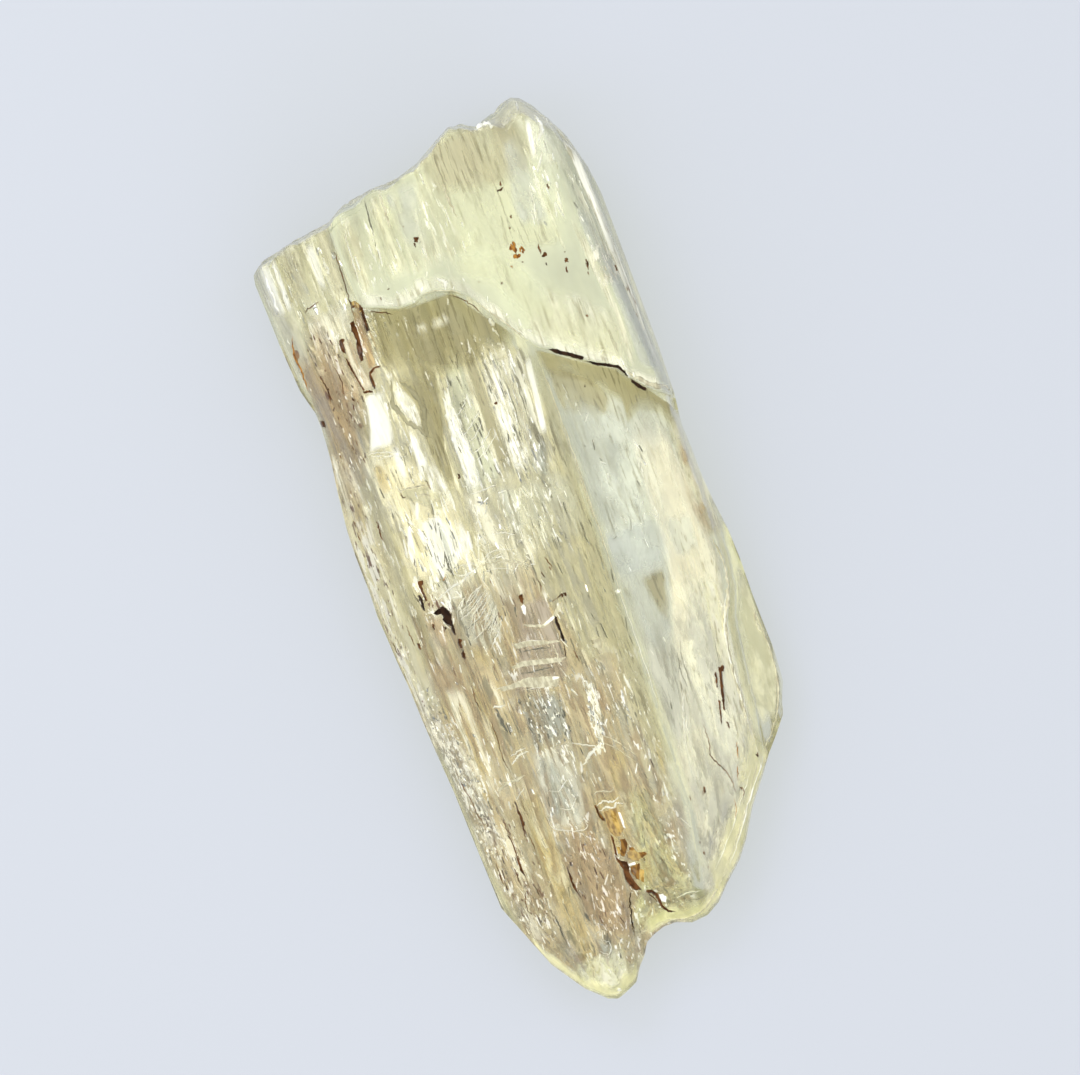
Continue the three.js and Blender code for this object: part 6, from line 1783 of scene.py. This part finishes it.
def thread_piece(name, kind):
    """One piece of all the lines with the same filling."""
    points, edges, widths = [], [], []
    for number, (filling, width, places) in enumerate((*LINES, *fan_lines())):
        if filling != kind:
            continue
        line = thread_line(places)
        wander = np.random.default_rng(number).normal(0, 0.02 + 0.06 * width, line.shape)
        x, y = kept_inside(*(line + wander).T, THREAD_MARGIN)
        if crosses_step(x, y):
            y = np.maximum(y, read_at(SLAB_EDGE, across_at(x, y)) + STEP_GAP)
        count = len(x)
        share = np.clip(np.linspace(0, 1, count), BLUNT, 1 - BLUNT)
        taper = np.sin(math.pi * share) ** 0.5
        ragged = np.random.default_rng(number + FIRST_RAGGED_SEED).uniform(0.6, 1.25, count)
        depth = LINE_DEPTH[kind] + 0.5 * width * LINE_ASPECT[kind]
        z = np.maximum(top_at(x, y) - depth, bottom_at(x, y) + THREAD_COVER)
        start = sum(len(part) for part in points)
        points.append(np.stack([x, y, z], axis=-1))
        edges.extend((start + i, start + i + 1) for i in range(count - 1))
        widths.append(width * taper * ragged)
    mesh = bpy.data.meshes.new(name + "_lines")
    mesh.from_pydata(np.concatenate(points) * MM, edges, [])
    store(mesh, "width", np.concatenate(widths) * MM)
    values = {"Aspect": LINE_ASPECT[kind], "Sides": THREAD_SIDES, "Material": solid_material(kind)}
    return nodes_piece(name, mesh, thread_tree(), values)


# ---------------------------------------------------------------- clots that fill the wider cracks, and painted glints

# Each clot's filling, how far its top lies under the front, and its outline, as x, y, x, y and so on.
CLOTS = (
    # the brown cracks of the shoulder
    ("umber", -0.02, (-7.15, 19.2, -6.85, 19.3, -6.8, 18.8, -6.85, 18.1, -6.95, 17.4, -7.1, 16.6,
        -7.3, 16.55, -7.25, 17.3, -7.1, 18, -7.15, 18.7)),
    ("amber", 0, (-6.62, 20.55, -6.3, 20.5, -6.08, 20.2, -6.1, 19.7, -6.25, 19.65, -6.3, 20, -6.5, 20.2)),
    ("umber", -0.01, (-6.1, 20.25, -5.98, 19.9, -6.03, 19.2, -6.1, 18.3, -6.2, 18.3, -6.15, 19.2,
        -6.18, 19.9)),
    ("umber", -0.01, (-6.55, 20.3, -6.38, 20.25, -6.4, 20.1, -6.55, 20.12)),
    ("umber", -0.01, (-8, 18.45, -7.82, 18.3, -8, 18.15, -8.05, 17.8, -8.15, 17.45, -8.28, 17.6, -8.3, 18.1,
        -8.2, 18.4)),
    ("umber", -0.01, (-8.22, 17.2, -8.1, 16.7, -7.92, 15.6, -7.75, 14.7, -7.85, 14.65, -8.02, 15.6,
        -8.2, 16.6)),
    ("umber", -0.01, (-7.05, 15.65, -6.6, 15.9, -6.15, 15.8, -6.6, 15.78, -6.97, 15.5, -6.93, 14.7,
        -7.05, 14.5, -7.1, 15.1)),
    ("umber", -0.01, (-7.9, 14.62, -7.45, 14.55, -7.2, 14.35, -7.5, 14.42, -7.85, 14.48)),
    ("resin", -0.01, (-11.3, 18.9, -11.1, 18.8, -11.15, 18.3, -11.35, 18.2, -11.45, 17.6, -11.5, 18.2)),
    ("umber", -0.01, (-11.3, 13.8, -11.1, 13.7, -11.12, 13.3, -11.3, 13.35)),
    # the rungs of the ladder
    ("ivory", 0.04, (-6.1, -7.32, -5.1, -7.36, -4.1, -7.32, -3.1, -7.57, -1.98, -7.98, -2.1, -8.2,
        -2.4, -8.57, -3.3, -8.29, -4.1, -8, -4.86, -7.72, -5.9, -7.62)),
    ("ivory", 0.04, (-4.86, -6.27, -4, -6.14, -3, -6.4, -2, -6.66, -1.14, -6.93, -1.57, -7.07, -2.4, -6.92,
        -3.3, -6.68, -4.1, -6.52, -4.8, -6.48)),
    ("ivory", 0.04, (-4.14, -4.9, -3.7, -4.9, -2.86, -5.12, -2, -5.42, -1.07, -5.78, -2.14, -5.64,
        -3, -5.42, -4.1, -5.24)),
    ("ivory", 0.04, (-3.2, -3.85, -2.7, -4, -1.9, -4.32, -0.95, -3.95, -0.62, -3.55, -0.1, -3.3,
        -0.15, -3.5, -0.55, -3.85, -0.85, -4.15, -1.86, -4.52, -2.75, -4.16)),
    ("glow", -0.02, (-1.75, -4.28, -1.2, -4.08, -0.95, -4, -0.98, -4.16, -1.4, -4.33, -1.8, -4.42)),
    ("glow", -0.02, (-2.85, -2.65, -2.6, -2.6, -2.55, -2.85, -2.75, -3.35, -2.85, -3.1)),
    ("glow", -0.02, (-2.45, -7.85, -2.02, -7.98, -2.1, -8.12, -2.5, -8.05)),
    ("ivory", 0.04, (0.9, -6.4, 1.45, -6.5, 1.5, -6.8, 1.3, -7.4, 1.1, -7.5, 1.05, -7, 0.8, -6.9,
        0.95, -6.7)),
    ("soil", -0.02, (-0.93, -3.98, -0.84, -4.1, -0.82, -4.8, -0.8, -5.6, -0.85, -5.85, -0.97, -5.82,
        -0.93, -5.2, -0.98, -4.6)),
    ("umber", -0.02, (-0.05, -2.8, 0.06, -2.75, 0.08, -3, -0.03, -3.05)),
    ("umber", -0.02, (0.2, -2.8, 0.33, -2.82, 0.32, -3.05, 0.2, -3.02)),
    ("umber", -0.01, (-2.75, -2, -2.45, -1.85, -2.5, -2.2, -2.65, -2.55, -2.75, -2.4)),
    # the gap under the slab's broken edge
    ("soil", -0.03, (4.8, 13.02, 5.2, 12.85, 5.8, 12.45, 6.4, 12.05, 6.85, 11.65, 6.75, 11.5, 6.3, 11.8,
        5.7, 12.2, 5.1, 12.6)),
    ("soil", -0.03, (6.9, 11.4, 7.5, 11.05, 8.2, 10.72, 8.9, 10.32, 9.15, 9.85, 9.25, 9.4, 9.08, 9.7,
        8.8, 10.15, 8.1, 10.58, 7.4, 10.88)),
    ("soil", -0.03, (9.35, 9.25, 9.7, 8.75, 10.15, 8.25, 10, 8.1, 9.6, 8.5, 9.35, 9)),
    # the crack of the right-hand face
    ("umber", -0.01, (8.3, -11.08, 8.42, -11.15, 8.6, -11.05, 8.66, -11.25, 8.52, -11.48, 8.4, -11.45,
        8.3, -11.9, 8.16, -12.3, 8.02, -12.9, 7.86, -13.5, 7.73, -14, 7.65, -13.95, 7.79, -13.3,
        7.95, -12.6, 8.1, -12, 8.24, -11.45)),
    ("umber", -0.01, (7.92, -11.4, 8, -11.35, 7.94, -11.9, 7.79, -12.35, 7.72, -12.3, 7.85, -11.8)),
    ("umber", -0.01, (7.55, -13.2, 7.62, -13.3, 7.45, -14, 7.28, -14.7, 7.18, -14.85, 7.2, -14.6,
        7.38, -13.9)),
    ("umber", -0.01, (7.55, -14.75, 7.65, -14.8, 7.63, -15.2, 7.54, -15.25)),
    # iron oxide at the left
    ("soil", -0.03, (-8.57, -1.1, -8.36, -0.98, -8.14, -0.9, -7.95, -0.86, -7.79, -0.81, -7.71, -1,
        -7.54, -1.21, -7.5, -1.43, -7.36, -1.53, -7.47, -1.71, -7.54, -2, -7.56, -2.3, -7.58, -2.6,
        -7.64, -2.96, -7.72, -2.75, -7.68, -2.3, -7.79, -2.24, -7.9, -2.07, -8, -1.93, -8.14, -1.67,
        -7.96, -1.57, -8, -1.36, -8.14, -1.29, -8.36, -1.29)),
    ("soil", -0.02, (-8.2, -2.2, -8.08, -2.22, -8.03, -2.38, -8.2, -2.42)),
    ("soil", -0.02, (-9.08, 0.4, -8.98, 0.42, -8.95, -0.1, -9, -0.72, -9.1, -0.5)),
    ("umber", -0.02, (-7.55, -3.3, -7.36, -3.35, -7.4, -3.55, -7.5, -3.62, -7.5, -3.95, -7.62, -3.9,
        -7.64, -3.5)),
    ("umber", -0.02, (-7.62, -4.2, -7.48, -4.15, -7.5, -4.5, -7.58, -4.75, -7.68, -4.5)),
    ("umber", -0.02, (-8.8, 1.32, -8.48, 1.25, -8.52, 1.02, -8.68, 0.95, -8.7, 0.5, -8.64, -0.1,
        -8.75, -0.12, -8.82, 0.6, -8.87, 1.1)),
    ("umber", -0.02, (-8.9, -1.75, -8.8, -1.8, -8.86, -2.15, -8.95, -2.1)),
    ("umber", -0.02, (-10.27, -2.6, -10.15, -2.7, -10.18, -3.1, -10.28, -3)),
    # resin-coloured clots near the lower end
    ("amber", 0.03, (-2.33, -17.67, -1.42, -17.67, -1.45, -18.5, -1.5, -19.25, -1.92, -19.6, -2.2, -19.45,
        -2.38, -19.1, -2.4, -18.3)),
    ("amber", 0.02, (-1.75, -20.83, -1.45, -20.7, -1.25, -20.8, -1, -21.08, -0.67, -21.17, -0.58, -21.33,
        -1, -21.5, -1.25, -21.58, -1.58, -21.42, -1.83, -21.17)),
    ("amber", -0.01, (-2.32, -20.2, -2.12, -20.28, -2.2, -20.75, -2.38, -20.7)),
    ("resin", -0.02, (-1.92, -19.8, -1.58, -19.87, -1.55, -20.25, -1.83, -20.75, -2.08, -21, -2.25, -20.83,
        -2.13, -20.47, -1.97, -20.17)),
    ("resin", -0.02, (-1.92, -21.83, -1.25, -21.75, -1.3, -22.08, -1.5, -22.4, -1.62, -22.85, -1.78, -22.75,
        -1.83, -22.5, -1.95, -22.2)),
    ("resin", -0.02, (-1.05, -21.06, -0.68, -21.13, -0.55, -21.33, -0.98, -21.46)),
    ("umber", -0.02, (-2.67, -20.7, -2.42, -21.15, -2, -21.4, -1.95, -21.75, -2.1, -22.2, -2.02, -22.7,
        -1.85, -23.2, -1.75, -23.5, -2.1, -23.45, -2.35, -23, -2.5, -22.4, -2.42, -21.8, -2.58, -21.2)),
    ("umber", -0.02, (-1.45, -23.68, -1.08, -23.76, -0.8, -24.15, -0.74, -24.67, -0.74, -25.05,
        -0.5, -25.48, -0.08, -25.75, -0.55, -25.64, -0.88, -25.1, -0.92, -24.6, -0.97, -24.2, -1.14, -23.94,
        -1.45, -23.82)),
    ("resin", -0.01, (-2.8, -17, -2.68, -17.05, -2.62, -17.7, -2.4, -18.15, -2.5, -18.25, -2.72, -17.9)),
    ("umber", -0.01, (-2.42, -19.3, -2.3, -19.5, -2.38, -20.1, -2.5, -20.8, -2.6, -20.6, -2.5, -19.9)),
    ("resin", -0.01, (-1.5, -20.5, -1.3, -20.55, -1.2, -20.8, -1.45, -20.78, -1.6, -20.7)),
    ("amber", -0.01, (-1.35, -22.2, -1.1, -22.3, -1.25, -22.7, -1.4, -23.1, -1.55, -22.95, -1.5, -22.5)),
    # painted glints on the breaks beside them
    ("glow", -0.02, (-0.74, -24.25, -0.45, -24.3, -0.33, -24.65, -0.48, -24.97, -0.72, -24.8)),
    ("glow", -0.02, (-1.97, -21.55, -1.48, -21.61, -1.5, -21.74, -1.97, -21.7)),
    ("glow", -0.02, (-1.42, -18, -1.27, -18.1, -1.31, -19.2, -1.42, -19.15)),
)
CLOT_SHADE_ANGLE = 30
CLOT_THICKNESS = 0.35
CLOT_MARGIN = 0.1  # how far a clot keeps from the crystal's outline
CLOT_GRAIN, CLOT_ROUGHNESS = 0.1, 0.018  # how long a ragged bit of the outline is, and how far it strays


def clot_outline(corners, rng):
    """The outline with a ragged corner every tenth of a millimetre or so."""
    corners = as_points(corners)
    line = []
    for start, end in zip(corners, np.roll(corners, -1, axis=0)):
        count = max(round(float(np.linalg.norm(end - start)) / CLOT_GRAIN), 1)
        line.append(start + (end - start) * np.arange(count)[:, None] / count)
    line = np.concatenate(line)
    return line + rng.normal(0, CLOT_ROUGHNESS, line.shape)


def clot_piece(name, kind):
    """One piece of all the clots with the same filling."""
    points, faces = [], []
    start = 0
    for number, (filling, depth, corners) in enumerate(CLOTS):
        if filling != kind:
            continue
        outline = clot_outline(corners, np.random.default_rng(number))
        x, y = kept_inside(*outline.T, CLOT_MARGIN)
        count = len(x)
        top = zone_top("slab", x, y) if crosses_step(x, y) else top_at(x, y)
        for level in (depth, depth + CLOT_THICKNESS):
            points.append(np.stack([x, y, top - level], axis=-1))
        faces.append(tuple(range(start, start + count)))
        faces.append(tuple(range(start + 2 * count - 1, start + count - 1, -1)))
        for i in range(count):
            after = (i + 1) % count
            faces.append((start + i, start + count + i, start + count + after, start + after))
        start += 2 * count
    piece = mesh_object(name, np.concatenate(points), faces, solid_material(kind), CLOT_SHADE_ANGLE)
    shape = bmesh.new()
    shape.from_mesh(piece.data)
    bmesh.ops.triangulate(shape, faces=[face for face in shape.faces if len(face.verts) > 4])
    bmesh.ops.recalc_face_normals(shape, faces=shape.faces)
    shape.to_mesh(piece.data)
    shape.free()
    return finish_filling(piece)


# ---------------------------------------------------------------- settings


class SpodumeneLook(bpy.types.PropertyGroup):
    """Size of the mesh and colour of the crystal."""

    columns: IntProperty(
        name="Columns", description="Grid columns across the crystal", default=190, min=20, max=200)
    rows_below: IntProperty(
        name="Rows below", description="Grid rows below the slab's edge", default=150, min=20, max=170)
    rows_above: IntProperty(
        name="Rows above", description="Grid rows on the slab", default=75, min=10, max=90)
    ior: FloatProperty(
        name="IOR", description="Index of refraction of spodumene", default=1.66, min=1, max=3)
    clearness: FloatProperty(
        name="Clearness", description="Share of the light that passes the surface", subtype="FACTOR",
        default=0.95, min=0, max=1)
    body_colour: FloatVectorProperty(
        name="Body colour", description="Colour that thick crystal takes", subtype="COLOR",
        default=(0.90, 0.91, 0.60), min=0, max=1)
    density: FloatProperty(
        name="Density", description="How fast the body colour builds up, per metre", default=22, min=0)


# ---------------------------------------------------------------- operators


class SPODUMENE_OT_crystal(bpy.types.Operator):
    """Make the crystal's surface and its clear material"""

    bl_idname = "spodumene.crystal"
    bl_label = "Crystal"

    def execute(self, context):
        look = context.scene.spodumene_look
        points, faces = crystal_surface(look.columns, look.rows_below, look.rows_above)
        crystal = mesh_object("crystal_body", points, faces, crystal_material(), BODY_SHADE_ANGLE)
        paint_surface(crystal.data, points)
        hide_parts(NODE)
        finish_piece(crystal)
        return {"FINISHED"}


class SPODUMENE_OT_films(bpy.types.Operator):
    """Make the milky and stained films that lie in flat cracks under the front, the olive ones that are
    painted shade, and the white ones that are painted highlights
    """

    bl_idname = "spodumene.films"
    bl_label = "Films"

    def execute(self, context):
        for kind in FILMS:
            points, faces, edges = [], [], []
            start = 0
            for seed, (film, zone, depth, fade) in enumerate(CLOUDS, FIRST_SHEET_SEED):
                if film != kind:
                    continue
                if zone == "upper_end":
                    sheet, quads, edge = end_sheet(depth, fade, seed)
                else:
                    sheet, quads, edge = film_sheet(zone, depth, fade, kind in PATCHY, seed)
                points.append(sheet)
                faces.append(quads + start)
                edges.append(edge)
                start += len(sheet)
            if not points:
                continue
            points, faces = np.concatenate(points), np.concatenate(faces)
            piece = mesh_object("film_" + kind, points, faces, film_material(kind))
            store(piece.data, "edge", np.concatenate(edges))
            finish_filling(piece)
        return {"FINISHED"}


class SPODUMENE_OT_flakes(bpy.types.Operator):
    """Make the veils, the white shards that are painted glints, and the grains that are scattered through
    the crystal
    """

    bl_idname = "spodumene.flakes"
    bl_label = "Flakes"

    def execute(self, context):
        rng = np.random.default_rng(FLAKE_SEED)
        found = {}
        for kind, *numbers in SWARMS:
            flakes = swarm(rng, *numbers, lean=MIRROR_LEAN if kind == "mirror" else 0)
            found.setdefault(kind, []).append(flakes)
        veil, shard = lens_shape("veil_shape"), shard_shape("shard_shape")
        for kind, parts in found.items():
            film = kind in FILMS
            material = film_material(kind) if film else solid_material(kind)
            places, turns, sizes = (np.concatenate(values) for values in zip(*parts))
            scattered("flakes_" + kind, veil if film else shard, places, turns, sizes, material)
        return {"FINISHED"}


class SPODUMENE_OT_iron(bpy.types.Operator):
    """Make the rusty iron spots on the front"""

    bl_idname = "spodumene.iron"
    bl_label = "Iron spots"

    def execute(self, context):
        shape = lens_shape("iron_shape", spokes=IRON_SPOKES)
        rng = np.random.default_rng(IRON_SEED)
        for kind, spots in (("ochre", IRON_SPOTS[:ORANGE_SPOTS]), ("umber", IRON_SPOTS[ORANGE_SPOTS:])):
            x, y, wide, long, turn = np.repeat(np.array(spots), IRON_GRAINS, axis=0).T
            apart, around = rng.uniform(0, 0.8, len(x)), rng.uniform(0, 2 * math.pi, len(x))
            x = x + apart * wide * np.cos(around)
            y = y + apart * long * np.sin(around)
            x, y = kept_inside(x, y, IRON_MARGIN)
            wide, long = wide * rng.uniform(0.2, 0.6, len(x)), long * rng.uniform(0.2, 0.6, len(x))
            slope = (top_at(x + SLOPE_REACH, y) - top_at(x - SLOPE_REACH, y)) / (2 * SLOPE_REACH)
            places = np.stack([x, y, top_at(x, y)], axis=-1)
            turns = np.stack([np.zeros_like(x), -np.degrees(np.arctan(slope)), turn], axis=-1)
            sizes = np.stack([wide, long, np.ones_like(x)], axis=-1)
            scattered(
                "iron_" + kind, shape, places, turns, sizes, solid_material(kind),
                variation=IRON_VARIATION, seed=IRON_SEED)
        return {"FINISHED"}


class SPODUMENE_OT_lines(bpy.types.Operator):
    """Make the dark cracks, and the bright lines that are painted glints and highlights"""

    bl_idname = "spodumene.lines"
    bl_label = "Cracks and bright lines"

    def execute(self, context):
        for kind in LINE_DEPTH:
            thread_piece("lines_" + kind, kind)
        return {"FINISHED"}


class SPODUMENE_OT_clots(bpy.types.Operator):
    """Make the iron and resin-coloured clots that fill the wider cracks, and the white clots that are
    painted glints
    """

    bl_idname = "spodumene.clots"
    bl_label = "Clots"

    def execute(self, context):
        for kind in sorted({clot[0] for clot in CLOTS}):
            clot_piece("clots_" + kind, kind)
        return {"FINISHED"}


# The camera looks straight down on its aim from this distance, turned about the vertical, in degrees.
CAMERA_TURN = -20.0
CAMERA_AIM = (-0.03, 1.27, 4.6)
CAMERA_DISTANCE = 600.0
CAMERA_LENS = 294.0
SENSOR_WIDTH = 36.0
NEAREST_SEEN = 0.01  # in metres
FLOOR_HALF = 1500.0
FLOOR_DROP = 0.03  # how far the floor lies under the crystal
SKY_COLOUR = (0.88, 0.93, 1.0, 1)
SKY_STRENGTH = 0.3
DAYLIGHT, WHITE = (0.97, 0.985, 1.0), (1.0, 1.0, 1.0)
# Soft panels aimed at the crystal: place, size, power, colour, and whether it shows up as a reflection.
PANELS = {
    "window": ((-60, 260, 330), (260, 160), 0.3, DAYLIGHT, True),
    "top_panel": ((-60, 260, 330), (260, 160), 0.66, DAYLIGHT, False),
    "left_panel": ((-210, 20, 250), (180, 320), 0.47, WHITE, False),
    "right_panel": ((220, 20, 250), (180, 320), 0.39, WHITE, False),
    "low_panel": ((20, -260, 190), (320, 180), 0.5, WHITE, False),
}


def area_light(name, place, size, power, colour, seen):
    """A soft panel, as in PANELS."""
    light = bpy.data.lights.new(name, "AREA")
    light.shape = "RECTANGLE"
    light.size, light.size_y = (length * MM for length in size)
    light.energy = power
    light.color = colour
    light.cycles.use_multiple_importance_sampling = seen
    lamp = add_object(name, light)
    lamp.location = Vector(place) * MM
    lamp.rotation_euler = (-Vector(place)).to_track_quat("-Z", "Y").to_euler()
    lamp.visible_glossy = seen
    lamp.visible_transmission = seen


class SPODUMENE_OT_stage(bpy.types.Operator):
    """Make the pale floor, the soft lights and the camera"""

    bl_idname = "spodumene.stage"
    bl_label = "Stage"

    def execute(self, context):
        scene = context.scene
        low, high = -FLOOR_HALF, FLOOR_HALF
        corners = [(x, y, -FLOOR_DROP) for x, y in ((low, low), (high, low), (high, high), (low, high))]
        floor = mesh_object("floor", corners, [(0, 1, 2, 3)], floor_material())
        camera_data = bpy.data.cameras.new("camera")
        camera_data.lens = CAMERA_LENS
        camera_data.sensor_width = SENSOR_WIDTH
        camera_data.clip_start = NEAREST_SEEN
        camera = add_object("camera", camera_data)
        camera.location = (Vector(CAMERA_AIM) + Vector((0, 0, CAMERA_DISTANCE))) * MM
        camera.rotation_euler = (0, 0, math.radians(CAMERA_TURN))
        scene.camera = camera
        world = bpy.data.worlds.new("studio")
        world.use_nodes = True
        sky = world.node_tree.nodes["Background"]
        sky.inputs["Color"].default_value = SKY_COLOUR
        sky.inputs["Strength"].default_value = SKY_STRENGTH
        scene.world = world
        for name, panel in PANELS.items():
            area_light(name, *panel)
        scene.view_settings.view_transform = "Standard"
        scene.cycles.caustics_refractive = False
        scene.cycles.caustics_reflective = False
        scene.cycles.glossy_bounces = 16
        scene.cycles.transmission_bounces = 20
        scene.cycles.max_bounces = 24
        scene.cycles.transparent_max_bounces = 32
        return {"FINISHED"}


class SPODUMENE_PT_panel(bpy.types.Panel):
    """Lists what the crystal is built from"""

    bl_label = "Spodumene crystal"
    bl_idname = "SPODUMENE_PT_panel"
    bl_space_type = "VIEW_3D"
    bl_region_type = "UI"
    bl_category = "Spodumene"

    def draw(self, context):
        for name in SpodumeneLook.__annotations__:
            self.layout.prop(context.scene.spodumene_look, name)
        for operator in OPERATORS:
            self.layout.operator(operator.bl_idname)


OPERATORS = (
    SPODUMENE_OT_crystal, SPODUMENE_OT_films, SPODUMENE_OT_flakes, SPODUMENE_OT_iron, SPODUMENE_OT_lines,
    SPODUMENE_OT_clots, SPODUMENE_OT_stage,
)
CLASSES = (SpodumeneLook, *OPERATORS, SPODUMENE_PT_panel)


def register():
    for cls in CLASSES:
        bpy.utils.register_class(cls)
    bpy.types.Scene.spodumene_look = PointerProperty(type=SpodumeneLook)


def unregister():
    del bpy.types.Scene.spodumene_look
    for cls in reversed(CLASSES):
        bpy.utils.unregister_class(cls)


def main():
    register()
    bpy.ops.spodumene.crystal()
    bpy.ops.spodumene.films()
    bpy.ops.spodumene.flakes()
    bpy.ops.spodumene.iron()
    bpy.ops.spodumene.lines()
    bpy.ops.spodumene.clots()
    bpy.ops.spodumene.stage()


if __name__ == "__main__":
    main()
